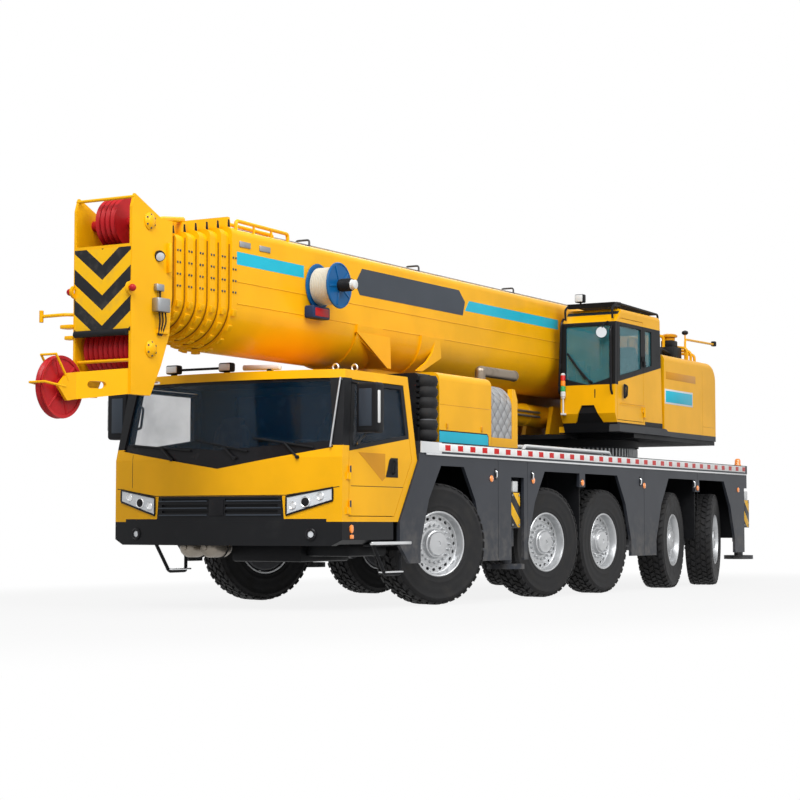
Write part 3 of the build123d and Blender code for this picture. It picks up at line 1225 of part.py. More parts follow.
def nodes():
    """Every sub-part by its node name."""
    parts = {
        "chassis_frame": chassis_frame(),
        "axles": Compound([solid for x in AXLE_X for solid in axle(x).solids()]),
        "side_skirts": skirts(),
        "driving_cab": driving_cab(),
        "cab_glass": cab_glass(),
        "cab_interior": cab_interior(),
        "bumper": bumper(),
        "lamps": lamps(),
        "engine_hood": engine_hood(),
        "engine_block": engine_block(),
        "turntable_frame": turntable_frame(),
        "operator_cab": operator_cab(),
        "operator_glass": operator_glass(),
        "operator_seat": operator_seat(),
        "operator_door": operator_door(),
        "operator_door_glass": operator_door_glass(),
        "tail_housing": tail_housing(),
        "winch": winch(),
        "boom_base": boom_base(),
        "boom_sheaves": boom_sheaves(),
        "luff_barrel": luff_barrel(),
        "luff_rod": luff_rod(),
    }
    for number in range(2, SECTIONS + 1):
        parts[f"boom_section_{number}"] = boom_section(number)
    wheel_pieces = tyre().solids() + rim().solids()
    knuckle_piece = knuckle()
    for name, side in SIDES.items():
        parts[f"cab_door_{name}"] = cab_door(side)
        parts[f"cab_door_glass_{name}"] = cab_door_glass(side)
        for end, box_x in (("front", FRONT_BOX_X), ("rear", REAR_BOX_X)):
            parts[f"outrigger_beam_{end}_{name}"] = outrigger_beam(box_x, side)
            parts[f"outrigger_jack_{end}_{name}"] = outrigger_jack(box_x, side)
        for index in range(len(AXLE_X)):
            parts[f"knuckle_{index + 1}_{name}"] = at_kingpin(knuckle_piece, index, side)
            parts[f"wheel_{index + 1}_{name}"] = Compound([at_kingpin(piece, index, side) for piece in wheel_pieces])
    return parts


os.makedirs("parts", exist_ok=True)
for node, shape in nodes().items():
    export_step(shape, f"parts/{node}.step")
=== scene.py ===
import json
import logging
from dataclasses import dataclass, field
from enum import Enum
from math import cos, pi, prod, radians, sin, tau
from typing import Any, Sequence

import bpy
import numpy as np
from mathutils import Matrix, Vector


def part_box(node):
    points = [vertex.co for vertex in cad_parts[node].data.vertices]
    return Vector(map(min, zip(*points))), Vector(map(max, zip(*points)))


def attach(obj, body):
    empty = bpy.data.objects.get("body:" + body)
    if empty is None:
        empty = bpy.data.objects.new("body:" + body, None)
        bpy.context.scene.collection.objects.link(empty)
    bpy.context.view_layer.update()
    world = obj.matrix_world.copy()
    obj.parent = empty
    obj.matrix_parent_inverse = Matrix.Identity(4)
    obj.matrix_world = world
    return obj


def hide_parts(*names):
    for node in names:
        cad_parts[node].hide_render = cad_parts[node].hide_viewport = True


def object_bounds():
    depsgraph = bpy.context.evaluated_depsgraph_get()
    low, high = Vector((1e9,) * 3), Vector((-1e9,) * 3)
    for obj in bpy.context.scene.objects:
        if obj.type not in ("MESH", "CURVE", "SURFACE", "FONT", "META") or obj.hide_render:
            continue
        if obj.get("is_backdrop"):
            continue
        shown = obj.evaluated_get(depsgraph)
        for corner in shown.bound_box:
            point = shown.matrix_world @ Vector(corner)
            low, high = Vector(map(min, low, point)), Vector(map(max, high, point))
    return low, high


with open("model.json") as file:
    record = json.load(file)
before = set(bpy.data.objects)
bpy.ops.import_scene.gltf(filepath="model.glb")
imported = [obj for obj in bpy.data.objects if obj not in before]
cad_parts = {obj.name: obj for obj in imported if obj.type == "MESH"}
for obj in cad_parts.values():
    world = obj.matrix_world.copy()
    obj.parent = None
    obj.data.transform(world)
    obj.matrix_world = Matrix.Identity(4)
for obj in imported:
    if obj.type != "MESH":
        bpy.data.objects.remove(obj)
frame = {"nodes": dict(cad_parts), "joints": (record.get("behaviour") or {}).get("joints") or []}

CAD_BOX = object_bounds()
LOG = logging.getLogger("crane")
Point = Sequence[float]
Row = tuple[Any, ...]
Rows = tuple[Row, ...]
Colour = tuple[float, float, float]
Plane = tuple[float, float, float, float]
ORIGIN = (0.0, 0.0, 0.0)
LEFTWARD = (0.0, 1.0, 0.0)


class Side(Enum):
    """Side of the machine, with the sign of its Y."""

    LEFT = 1
    RIGHT = -1

    @property
    def word(self) -> str:
        """Name used in node names."""
        return self.name.lower()


class Axis(Enum):
    """Axis of the frame, as the place of its coordinate."""

    X = 0
    Y = 1
    Z = 2


# Shader graphs


class Wire:
    """A value socket that takes part in arithmetic: each operator adds one Math node."""

    def __init__(self, graph: "Graph", socket: Any) -> None:
        """Keeps the socket and the graph that it belongs to."""
        self.graph = graph
        self.socket = socket

    def _math(self, operation: str, *values: Any) -> "Wire":
        """Adds a Math node on some operands, wires or numbers."""
        return self.graph.node("ShaderNodeMath", {"operation": operation}, dict(enumerate(values)))

    def __add__(self, other: Any) -> "Wire":
        """Sum."""
        return self._math("ADD", self, other)

    def __radd__(self, other: Any) -> "Wire":
        """Sum with a number on the left."""
        return self._math("ADD", other, self)

    def __sub__(self, other: Any) -> "Wire":
        """Difference."""
        return self._math("SUBTRACT", self, other)

    def __rsub__(self, other: Any) -> "Wire":
        """Difference from a number on the left."""
        return self._math("SUBTRACT", other, self)

    def __mul__(self, other: Any) -> "Wire":
        """Product."""
        return self._math("MULTIPLY", self, other)

    def __rmul__(self, other: Any) -> "Wire":
        """Product with a number on the left."""
        return self._math("MULTIPLY", other, self)

    def __abs__(self) -> "Wire":
        """Distance from zero."""
        return self._math("ABSOLUTE", self)

    def __gt__(self, other: Any) -> "Wire":
        """One where this value is the larger, else nought."""
        return self._math("GREATER_THAN", self, other)

    def larger(self, other: Any) -> "Wire":
        """The larger of two values."""
        return self._math("MAXIMUM", self, other)

    def wave(self, period: float) -> "Wire":
        """Saw tooth from nought to one that repeats with a period."""
        return self._math("FRACT", self * (1.0 / period))

    def sine(self) -> "Wire":
        """Sine of the value in radians."""
        return self._math("SINE", self)

    def step(self, low: float, high: float) -> "Wire":
        """Smooth rise from nought at low to one at high."""
        inputs = {"Value": self, "From Min": low, "From Max": high}
        return self.graph.node("ShaderNodeMapRange", {"interpolation_type": "SMOOTHSTEP"}, inputs)


class Graph:
    """Node graph of one material or of the world."""

    def __init__(self, owner: bpy.types.Material | bpy.types.World) -> None:
        """Empties the owner's graph.

        Args:
            owner: Material or world that holds the graph.
        """
        owner.use_nodes = True
        self.tree = owner.node_tree
        self.tree.nodes.clear()

    def node(self, kind: str, settings: dict | None = None, inputs: dict | None = None,
             output: Any = 0) -> Wire:
        """Adds a node.

        Args:
            kind: Node type.
            settings: Attributes set before the sockets.
            inputs: Values or wires by socket name or place; three numbers on a colour socket are opaque.
            output: Output socket that is returned.

        Returns:
            The output socket.
        """
        made = self.tree.nodes.new(kind)
        for key, value in (settings or {}).items():
            setattr(made, key, value)
        for key, value in (inputs or {}).items():
            socket = made.inputs[key]
            if isinstance(value, Wire):
                self.tree.links.new(value.socket, socket)
            else:
                opaque = socket.type == "RGBA" and len(value) == 3
                socket.default_value = (*value, 1.0) if opaque else value
        return Wire(self, made.outputs[output] if made.outputs else None)

    def place(self) -> Wire:
        """Object coordinates."""
        return self.node("ShaderNodeTexCoord", output="Object")

    def axes(self) -> tuple[Wire, Wire, Wire]:
        """Object coordinates as three values."""
        place = self.place()
        return tuple(self.node("ShaderNodeSeparateXYZ", inputs={0: place}, output=i) for i in range(3))

    def noise(self, scale: float, detail: float = 3.0) -> Wire:
        """Noise between nought and one on object coordinates, by waves in a metre and octaves."""
        return self.node("ShaderNodeTexNoise", inputs={"Vector": self.place(), "Scale": scale,
                                                       "Detail": detail})

    def cells(self, scale: float) -> Wire:
        """Distance to the nearest cell border on object coordinates."""
        inputs = {"Vector": self.place(), "Scale": scale}
        return self.node("ShaderNodeTexVoronoi", {"feature": "DISTANCE_TO_EDGE"}, inputs)

    def blend(self, share: Any, first: Any, second: Any) -> Wire:
        """Mix of two colours, with the share of the second."""
        return self.node("ShaderNodeMix", {"data_type": "RGBA"}, {0: share, 6: first, 7: second}, 2)

    def bump(self, height: Wire, distance: float, strength: float = 1.0) -> Wire:
        """Normal that follows a height from nought to one, with the distance of one in metres."""
        return self.node("ShaderNodeBump", inputs={"Height": height, "Distance": distance,
                                                   "Strength": strength})

    def principled(self, **sockets: Any) -> Wire:
        """Principled shader with sockets by name, underscores for spaces."""
        named = {key.replace("_", " "): value for key, value in sockets.items()}
        return self.node("ShaderNodeBsdfPrincipled", inputs=named)

    def mixed(self, share: Any, first: Wire, second: Wire) -> Wire:
        """Mix of two shaders, with the share of the second."""
        return self.node("ShaderNodeMixShader", inputs={0: share, 1: first, 2: second})

    def seen(self) -> Wire:
        """One for rays from the camera, a mirror or glass, else nought.

        Returns:
            The value.
        """
        kinds = ("Camera", "Glossy", "Transmission")
        camera, mirror, glass = (self.node("ShaderNodeLightPath", output=f"Is {kind} Ray") for kind in kinds)
        return camera.larger(mirror).larger(glass)


# Finishes


class Finish:
    """A named surface, which a material holds alone or in one of its zones."""

    name: str

    def shader(self, graph: Graph) -> Wire:
        """Adds the finish's nodes to a graph."""
        raise NotImplementedError

    def material(self) -> bpy.types.Material:
        """Material that shows this finish all over.

        Returns:
            The material.
        """
        made = bpy.data.materials.new(self.name)
        graph = Graph(made)
        graph.node("ShaderNodeOutputMaterial", inputs={"Surface": self.shader(graph)})
        return made


@dataclass(frozen=True)
class Paint(Finish):
    """Sprayed paint: orange peel, faint cloudiness, and road dust that fades out with height."""

    name: str
    colour: Colour
    gloss: float = 0.34
    coat: float = 0.06
    dust: float = 0.05
    dust_top: float = 1.3
    dirt: Colour = (0.34, 0.31, 0.27)
    peel: float = 260.0

    def shader(self, graph: Graph) -> Wire:
        """Base colour clouded by slow noise, dust by height and fine noise, peel as bump.

        Args:
            graph: Graph of the material.

        Returns:
            The shader.
        """
        cloud = graph.noise(1.7, 4.0)
        speck = graph.noise(9.0, 6.0)
        _, _, height = graph.axes()
        low = 1.0 - height.step(0.2, self.dust_top)
        dusty = low * speck.step(0.35, 0.75) * self.dust
        shade = tuple(value * 0.9 for value in self.colour)
        base = graph.blend(cloud.step(0.3, 0.7), self.colour, shade)
        tinted = graph.blend(dusty, base, self.dirt)
        rough = self.gloss + cloud * 0.08 + dusty * 0.8
        return graph.principled(Base_Color=tinted, Roughness=rough, Coat_Weight=self.coat,
                                Coat_Roughness=0.06, Specular_IOR_Level=0.16,
                                Normal=graph.bump(graph.noise(self.peel, 1.0), 0.0004, 0.25))


@dataclass(frozen=True)
class Metal(Finish):
    """Bare metal with fine turning or rolling marks and dull patches."""

    name: str
    colour: Colour
    rough: float = 0.3
    metallic: float = 1.0
    grime: float = 0.35
    marks: float = 90.0

    def shader(self, graph: Graph) -> Wire:
        """Dull patches from slow noise darken and roughen; fine noise is the marks.

        Args:
            graph: Graph of the material.

        Returns:
            The shader.
        """
        mark = graph.noise(self.marks, 2.0)
        dull = graph.noise(6.0, 5.0).step(0.45, 0.8) * self.grime
        base = graph.blend(dull, self.colour, tuple(value * 0.45 for value in self.colour))
        return graph.principled(Base_Color=base, Roughness=self.rough + dull * 0.5 + mark * 0.08,
                                Metallic=self.metallic, Normal=graph.bump(mark, 0.0004, 0.3))


@dataclass(frozen=True)
class Moulding(Finish):
    """Moulded plastic or satin coating with a fine grain."""

    name: str
    colour: Colour
    rough: float = 0.5
    grain: float = 320.0

    def shader(self, graph: Graph) -> Wire:
        """Grain as bump, faint wear from slow noise.

        Args:
            graph: Graph of the material.

        Returns:
            The shader.
        """
        wear = graph.noise(5.0, 5.0).step(0.5, 0.9)
        base = graph.blend(wear * 0.3, self.colour, tuple(0.6 * value + 0.03 for value in self.colour))
        return graph.principled(Base_Color=base, Roughness=self.rough + wear * 0.2, Specular_IOR_Level=0.12,
                                Normal=graph.bump(graph.noise(self.grain, 2.0), 0.0006, 0.35))


@dataclass(frozen=True)
class Rubber(Finish):
    """Rubber, greyed in patches by road dust."""

    name: str
    colour: Colour = (0.016, 0.016, 0.017)
    dirt: Colour = (0.05, 0.047, 0.043)
    skin: float = 140.0

    def shader(self, graph: Graph) -> Wire:
        """Dust from slow noise, a fine skin as bump.

        Args:
            graph: Graph of the material.

        Returns:
            The shader.
        """
        dust = graph.noise(7.0, 6.0).step(0.4, 0.8)
        base = graph.blend(dust * 0.4, self.colour, self.dirt)
        return graph.principled(Base_Color=base, Roughness=0.62 + dust * 0.2, Specular_IOR_Level=0.2,
                                Normal=graph.bump(graph.noise(self.skin, 3.0), 0.0008, 0.4))


@dataclass(frozen=True)
class Pane(Finish):
    """Tinted safety glass that lets the inside show, or mirror glass where it is not clear."""

    name: str
    colour: Colour
    clear: float
    metallic: float = 0.0

    def shader(self, graph: Graph) -> Wire:
        """Tint with a share of see-through, and a faint haze from slow noise.

        Args:
            graph: Graph of the material.

        Returns:
            The shader.
        """
        haze = graph.noise(2.2, 4.0).step(0.35, 0.8)
        return graph.principled(Base_Color=self.colour, Roughness=0.03 + haze * 0.05, Metallic=self.metallic,
                                Alpha=1.0 - self.clear + haze * 0.08, Coat_Weight=0.25, Coat_Roughness=0.02)


@dataclass(frozen=True)
class Lens(Finish):
    """Coloured lamp lens with moulded ribs and a painted glow."""

    name: str
    colour: Colour
    rib: float = 0.018
    # painted light: emission strength that stands for the reflector's shine
    glow: float = 0.12

    def shader(self, graph: Graph) -> Wire:
        """Crossing waves are the ribs; a little emission is painted light for the reflector behind the lens.

        Args:
            graph: Graph of the material.

        Returns:
            The shader.
        """
        _, across, up = graph.axes()
        ribs = (across * (tau / self.rib)).sine() * (up * (tau / self.rib)).sine()
        return graph.principled(Base_Color=self.colour, Roughness=0.12 + graph.noise(30.0) * 0.1,
                                Coat_Weight=0.8, Emission_Color=self.colour, Emission_Strength=self.glow,
                                Normal=graph.bump(ribs * 0.5 + 0.5, 0.002, 0.5))


@dataclass(frozen=True)
class Cloth(Finish):
    """Woven seat cloth."""

    name: str
    colour: Colour
    thread: float = 0.004

    def shader(self, graph: Graph) -> Wire:
        """Crossing threads as bump, faded in patches.

        Args:
            graph: Graph of the material.

        Returns:
            The shader.
        """
        x, y, z = graph.axes()
        weave = ((x + z) * (tau / self.thread)).sine() * ((y + z) * (tau / self.thread)).sine()
        base = graph.blend(graph.noise(8.0, 4.0).step(0.3, 0.8), self.colour,
                           tuple(v * 1.8 for v in self.colour))
        return graph.principled(Base_Color=base, Roughness=0.9,
                                Normal=graph.bump(weave * 0.5 + 0.5, 0.001, 0.5))


@dataclass(frozen=True)
class Bands(Finish):
    """Two colours in turn along a direction of the frame, as on warning plates and reflective tape."""

    name: str
    first: Colour
    second: Colour
    direction: Point
    period: float
    share: float = 0.5
    window: tuple[float, float] | None = None
    rough: float = 0.35
    dirt: Colour = (0.16, 0.14, 0.12)
    beads: float = 160.0

    def shader(self, graph: Graph) -> Wire:
        """Saw tooth along the direction, over |Y|, cut at the share of the first colour.

        A window keeps the first colour between two heights only.

        Args:
            graph: Graph of the material.

        Returns:
            The shader.
        """
        x, y, z = graph.axes()
        along = x * self.direction[0] + abs(y) * self.direction[1] + z * self.direction[2]
        mask = along.wave(self.period) > self.share
        if self.window:
            mask = mask.larger(z > self.window[1]).larger(self.window[0] - z > 0.0)
        grime = graph.noise(11.0, 5.0).step(0.45, 0.85) * 0.2
        base = graph.blend(mask, self.first, self.second)
        return graph.principled(Base_Color=graph.blend(grime, base, self.dirt), Roughness=self.rough + grime,
                                Specular_IOR_Level=0.2,
                                Normal=graph.bump(graph.cells(self.beads), 0.0006, 0.25))


@dataclass(frozen=True)
class Quilt(Finish):
    """Stitched heat blanket of silver cloth, with diamond pillows."""

    name: str
    colour: Colour = (0.36, 0.365, 0.37)
    pillow: float = 0.17
    seam_tone: Colour = (0.09, 0.09, 0.1)
    fold_tone: Colour = (0.26, 0.26, 0.27)

    def shader(self, graph: Graph) -> Wire:
        """Pillows between two crossing families of seams, crumpled by fine noise.

        Args:
            graph: Graph of the material.

        Returns:
            The shader.
        """
        x, y, z = graph.axes()
        run = x + y
        first = abs(((run + z) * (pi / self.pillow)).sine())
        second = abs(((run - z) * (pi / self.pillow)).sine())
        pillow = first * second
        crumple = graph.noise(38.0, 5.0)
        seam = 1.0 - pillow.step(0.0, 0.18)
        base = graph.blend(seam * 0.75, self.colour, self.seam_tone)
        tone = graph.blend(crumple.step(0.4, 0.7) * 0.35, base, self.fold_tone)
        return graph.principled(Base_Color=tone, Roughness=0.38 + crumple * 0.2, Metallic=0.3,
                                Normal=graph.bump(pillow * 0.7 + crumple * 0.3, 0.03, 0.8))


@dataclass(frozen=True)
class Zone:
    """Part of a node inside a box over X, |Y| and Z, and on the inner side of some planes.

    A side of the box that is None is open. A plane (a, b, c, d) keeps what has a x + b |y| + c z over d.
    """

    finish: str
    low: Row = (None, None, None)
    high: Row = (None, None, None)
    planes: tuple[Plane, ...] = ()

    def mask(self, axes: Sequence[Wire]) -> Wire:
        """One inside the zone, else nought.

        Args:
            axes: X, |Y| and Z.

        Returns:
            The mask.
        """
        tests = [axis > limit for axis, limit in zip(axes, self.low) if limit is not None]
        tests += [axis * -1.0 > -limit for axis, limit in zip(axes, self.high) if limit is not None]
        for *factors, limit in self.planes:
            terms = [axis * factor for axis, factor in zip(axes, factors) if factor]
            tests.append(sum(terms[1:], terms[0]) > limit)
        return prod(tests[1:], start=tests[0])


@dataclass(frozen=True)
class Zones(Finish):
    """Several finishes on one node, each later one over those before it."""

    name: str
    base: str
    zones: tuple[Zone, ...]

    def shader(self, graph: Graph) -> Wire:
        """Mixes the shaders by the zones' masks.

        Args:
            graph: Graph of the material.

        Returns:
            The shader.
        """
        x, y, z = graph.axes()
        axes = (x, abs(y), z)
        made = STOCK.by_name[self.base].shader(graph)
        for zone in self.zones:
            made = graph.mixed(zone.mask(axes), made, STOCK.by_name[zone.finish].shader(graph))
        return made


YELLOW = (0.9, 0.44, 0.002)
SIGNAL = (0.86, 0.47, 0.006)
DARK = (0.03, 0.034, 0.043)
BLACK = (0.01, 0.0105, 0.012)
CYAN = (0.008, 0.46, 0.62)
RED = (0.43, 0.012, 0.016)


class Stock:
    """The finishes of this machine, each made once."""

    FINISHES = (
        Paint("coach_yellow", YELLOW),
        Paint("deep_yellow", tuple(value * 0.92 for value in YELLOW), gloss=0.36),
        # darker yellow: seams, latches and filter cap, and painted shade on the door scoop and tail recess
        Paint("shade_yellow", (0.66, 0.28, 0.004), gloss=0.36),
        # painted shade: dark brown for the gaps between boom sections
        Paint("gap_brown", (0.3, 0.12, 0.003), gloss=0.5, dust=0.0),
        Paint("frame_grey", DARK, gloss=0.42, coat=0.1, dust=0.3),
        Paint("sheave_red", RED, gloss=0.34, dust=0.0),
        Paint("reel_blue", (0.003, 0.1, 0.29), gloss=0.32, dust=0.0),
        Paint("box_blue", (0.012, 0.03, 0.09), gloss=0.4, dust=0.0),
        Paint("stripe_cyan", CYAN, gloss=0.36, coat=0.1, dust=0.0),
        Paint("plate_slate", (0.035, 0.045, 0.06), gloss=0.36, coat=0.1, dust=0.0),
        Paint("tank_white", (0.7, 0.71, 0.71), gloss=0.35, dust=0.1),
        Metal("rim_silver", (0.52, 0.53, 0.54), rough=0.3, metallic=0.7),
        Metal("steel_grey", (0.33, 0.34, 0.35), rough=0.42),
        Metal("bright_steel", (0.72, 0.73, 0.74), rough=0.25, grime=0.2),
        Metal("chrome_rod", (0.72, 0.73, 0.74), rough=0.1, grime=0.1),
        Metal("exhaust_steel", (0.27, 0.22, 0.17), rough=0.34, grime=0.5),
        Metal("tank_bronze", (0.33, 0.29, 0.24), rough=0.34, metallic=0.6),
        Metal("casting_grey", (0.07, 0.072, 0.078), rough=0.55, metallic=0.5),
        Metal("rope_wire", (0.42, 0.42, 0.4), rough=0.5, metallic=0.7),
        Moulding("trim_black", BLACK),
        Moulding("gloss_black", (0.01, 0.01, 0.012), rough=0.22),
        Moulding("panel_grey", (0.06, 0.062, 0.066), rough=0.6),
        Moulding("cab_lining", (0.016, 0.024, 0.03), rough=0.55),
        Moulding("cable_cream", (0.55, 0.52, 0.44), rough=0.7),
        Rubber("tyre_rubber"),
        Rubber("hose_rubber", (0.012, 0.012, 0.013)),
        Pane("cab_pane", (0.002, 0.03, 0.07), 0.85),
        Pane("operator_pane", (0.06, 0.27, 0.32), 0.66),
        Pane("mirror_pane", (0.75, 0.78, 0.8), 0.0, 1.0),
        Lens("lens_clear", (0.6, 0.63, 0.66), glow=0.05),
        Lens("lens_amber", (0.9, 0.24, 0.01)),
        Lens("lens_red", (0.6, 0.01, 0.01)),
        Lens("lens_green", (0.01, 0.32, 0.1)),
        Cloth("seat_cloth", (0.03, 0.031, 0.036)),
        Bands("tape_red_white", (0.55, 0.012, 0.012), (0.78, 0.78, 0.77), (1.0, 0.0, 0.0), 0.3, 0.42,
              (1.732, 1.796)),
        Bands("warning_side", SIGNAL, BLACK, (-0.9, 0.0, 1.0), 0.3),
        Bands("warning_rear", SIGNAL, BLACK, (0.0, -0.9, 1.0), 0.3),
        Bands("warning_chevron", BLACK, SIGNAL, (0.0, -0.8, 1.0), 0.299),
        Quilt("silencer_blanket"),
        Zones("hood_zones", "coach_yellow", (
            Zone("trim_black", (2.482, None, None)),
            Zone("silencer_blanket", (0.565, None, 1.93), (1.19, None, 2.62)),
            Zone("exhaust_steel", (None, None, 2.62), (1.1, None, None)))),
        Zones("door_zones", "coach_yellow", (
            Zone("cab_lining", high=(None, 1.425, None), planes=((0.0, -1.0, -0.0761, -1.5417),)),
            Zone("trim_black", (3.262, None, None), (None, 1.488, None), ((0.135, 0.0, 1.0, 2.275),)),
            Zone("panel_grey", (None, 1.49, None)))),
        Zones("cab_zones", "coach_yellow", (
            Zone("cab_lining", (3.15, None, 0.96), (4.4, 1.435, 2.49), ((0.0, -1.0, -0.0761, -1.5517),)),
            Zone("trim_black", (4.38, 1.24, 1.72), (None, None, 2.43)),
            Zone("trim_black", high=(None, 1.3, 0.96)))),
        Zones("screen_zones", "cab_pane", (
            Zone("gloss_black", (4.2, None, None), planes=((0.0, 0.06, -1.0, -1.69),)),
            Zone("gloss_black", (None, None, 2.395)),
            Zone("gloss_black", high=(3.5, None, None)),
            Zone("gloss_black", (4.2, None, None), planes=((0.0, 1.0, 0.13, 1.565),)))),
        Zones("boom_zones", "coach_yellow", (
            Zone("reel_blue", (3.3, 0.4815, 3.24), (3.9, None, None)),
            Zone("trim_black", (None, 0.772, None)))),
        Zones("operator_zones", "coach_yellow", (
            Zone("cab_lining", (-4.02, 0.63, 2.29), (-2.56, 1.395, 3.815)),
            Zone("trim_black", (-2.5, None, 2.8), (None, None, 3.66)),
            Zone("trim_black", (-4.03, 1.36, None), (None, None, 3.66), ((0.19, 0.0, 1.0, 2.365),)),
            Zone("trim_black", (-2.62, None, 2.29), (None, None, 2.525),
                 ((0.0, 1.0, -0.477, -0.282), (0.0, -1.0, -0.477, -2.312))),
            Zone("trim_black", high=(None, None, 2.29)))),
        Zones("tail_zones", "coach_yellow", (Zone("panel_grey", high=(None, None, 2.235)),)),
        Zones("turntable_zones", "deep_yellow", (Zone("trim_black", high=(None, None, 2.17)),)),
        Zones("lamp_zones", "lens_clear", (Zone("lens_red", high=(-6.0, None, None)),)),
        Zones("deck_zones", "frame_grey", (Zone("tank_white", (2.6, 1.49, 1.695), (None, None, 1.8195)),)),
    )

    def __init__(self) -> None:
        """Indexes the finishes by name."""
        self.by_name = {finish.name: finish for finish in self.FINISHES}
        self.made: dict[str, bpy.types.Material] = {}

    def __getitem__(self, name: str) -> bpy.types.Material:
        """Material of a finish, built at its first use.

        Args:
            name: Name of the finish.

        Returns:
            The material.
        """
        if name not in self.made:
            self.made[name] = self.by_name[name].material()
        return self.made[name]


STOCK = Stock()


# Surfaces


@dataclass
class Surface:
    """Points and faces of one or more closed forms."""

    points: np.ndarray
    faces: list[np.ndarray]

    def moved(self, matrix: np.ndarray) -> "Surface":
        """The surface after a 4 by 4 matrix."""
        return Surface(self.points @ matrix[:3, :3].T + matrix[:3, 3], self.faces)

    def repeated(self, matrices: np.ndarray) -> "Surface":
        """Copies of the surface, one for each matrix.

        Args:
            matrices: Array of shape (count, 4, 4).

        Returns:
            All copies as one surface.
        """
        count = len(matrices)
        copies = np.einsum("kij,nj->kni", matrices[:, :3, :3], self.points) + matrices[:, None, :3, 3]
        starts = np.arange(count)[:, None, None] * len(self.points)
        faces = [(group[None] + starts).reshape(-1, group.shape[1]) for group in self.faces]
        return Surface(copies.reshape(-1, 3), faces)

    def spun(self, count: int, start: float = 0.0) -> "Surface":
        """Copies turned about Z in equal steps of a full circle.

        Args:
            count: Number of copies.
            start: Angle of the first copy in radians.

        Returns:
            All copies as one surface.
        """
        angle = start + np.arange(count) * tau / count
        matrices = np.tile(np.eye(4), (count, 1, 1))
        matrices[:, 0, 0] = matrices[:, 1, 1] = np.cos(angle)
        matrices[:, 1, 0] = np.sin(angle)
        matrices[:, 0, 1] = -np.sin(angle)
        return self.repeated(matrices)

    def copied(self, places: Sequence[Point]) -> "Surface":
        """Copies moved to some places.

        Args:
            places: Place of each copy.

        Returns:
            All copies as one surface.
        """
        matrices = np.tile(np.eye(4), (len(places), 1, 1))
        matrices[:, :3, 3] = places
        return self.repeated(matrices)

    @staticmethod
    def joined(parts: Sequence["Surface"]) -> "Surface":
        """Several surfaces as one.

        Args:
            parts: The surfaces.

        Returns:
            One surface.
        """
        starts = np.cumsum([0] + [len(part.points) for part in parts])
        faces = [group + start for part, start in zip(parts, starts) for group in part.faces]
        return Surface(np.vstack([part.points for part in parts]), faces)

    def flipped(self) -> "Surface":
        """The surface with its faces the other way round."""
        return Surface(self.points, [group[:, ::-1] for group in self.faces])

    def mirrored(self) -> "Surface":
        """The surface on the other side of the machine, with its faces still outwards."""
        return Surface(self.points * np.array([1.0, -1.0, 1.0]), self.faces).flipped()

    def on(self, side: Side) -> "Surface":
        """The surface, drawn on the left, for one side of the machine."""
        return self if side is Side.LEFT else self.mirrored()

    def with_mirror(self) -> "Surface":
        """The surface and its mirror image."""
        return Surface.joined([self, self.mirrored()])


def grid(points: np.ndarray, wrap_u: bool = False, wrap_v: bool = False, caps: bool = False) -> Surface:
    """Quads over a grid of points.

    Args:
        points: Array of shape (u, v, 3).
        wrap_u: Joins the last row to the first.
        wrap_v: Joins the last column to the first.
        caps: Closes the first and the last row with one face each.

    Returns:
        The surface.
    """
    rows, columns = points.shape[:2]
    index = np.arange(rows * columns).reshape(rows, columns)
    if wrap_u:
        index = np.vstack([index, index[:1]])
    if wrap_v:
        index = np.hstack([index, index[:, :1]])
    quads = np.stack([index[:-1, :-1], index[1:, :-1], index[1:, 1:], index[:-1, 1:]], -1).reshape(-1, 4)
    faces = [quads]
    if caps:
        border = np.arange(columns)
        faces += [border[None], (border[::-1] + (rows - 1) * columns)[None]]
    return Surface(points.reshape(-1, 3).astype(float), faces)


def revolved(profile: Sequence[Point], segments: int, closed: bool) -> Surface:
    """Profile of (radius, height) turned about Z: x = r cos t, y = r sin t.

    Args:
        profile: Points from the lower to the upper end, on the outside.
        segments: Steps in a full turn.
        closed: Joins the profile's end to its start, or else closes the ends by flat faces.

    Returns:
        The surface.
    """
    outline = np.array(profile, float)
    turn = np.linspace(0.0, tau, segments, endpoint=False)
    radius, height = outline[:, :1], outline[:, 1:]
    points = np.stack([radius * np.cos(turn), radius * np.sin(turn), height + 0.0 * turn], -1)
    return grid(points, wrap_u=closed, wrap_v=True, caps=not closed).flipped()


def lathe(profile: Sequence[Point], segments: int = 32) -> Surface:
    """Solid turned about Z from an open profile of (radius, height)."""
    return revolved(profile, segments, False)


def ring(profile: Sequence[Point], segments: int = 48) -> Surface:
    """Ring turned about Z from a closed profile of (radius, height), as a tyre or a bent bar."""
    return revolved(profile, segments, True)


def aim(start: Point, end: Point) -> np.ndarray:
    """Matrix that takes the Z axis to the line from start to end, with its origin at start.

    Args:
        start: New origin.
        end: Point on the new Z axis.

    Returns:
        The 4 by 4 matrix.
    """
    line = Vector(end) - Vector(start)
    turn = line.to_track_quat("Z", "X").to_matrix().to_4x4()
    return np.array(Matrix.Translation(Vector(start)) @ turn)


def post(start: Point, end: Point, radius: float, segments: int = 16, chamfer: float = 0.0) -> Surface:
    """Round bar between two points, with optional chamfered ends.

    Args:
        start: Centre of one end.
        end: Centre of the other end.
        radius: Radius of the bar.
        segments: Steps in a full turn.
        chamfer: Width of the chamfers.

    Returns:
        The closed surface.
    """
    length = float(np.linalg.norm(np.subtract(end, start)))
    profile = [(radius, chamfer), (radius, length - chamfer)]
    if chamfer:
        profile = [(radius - chamfer, 0.0), *profile, (radius - chamfer, length)]
    return lathe(profile, segments).moved(aim(start, end))


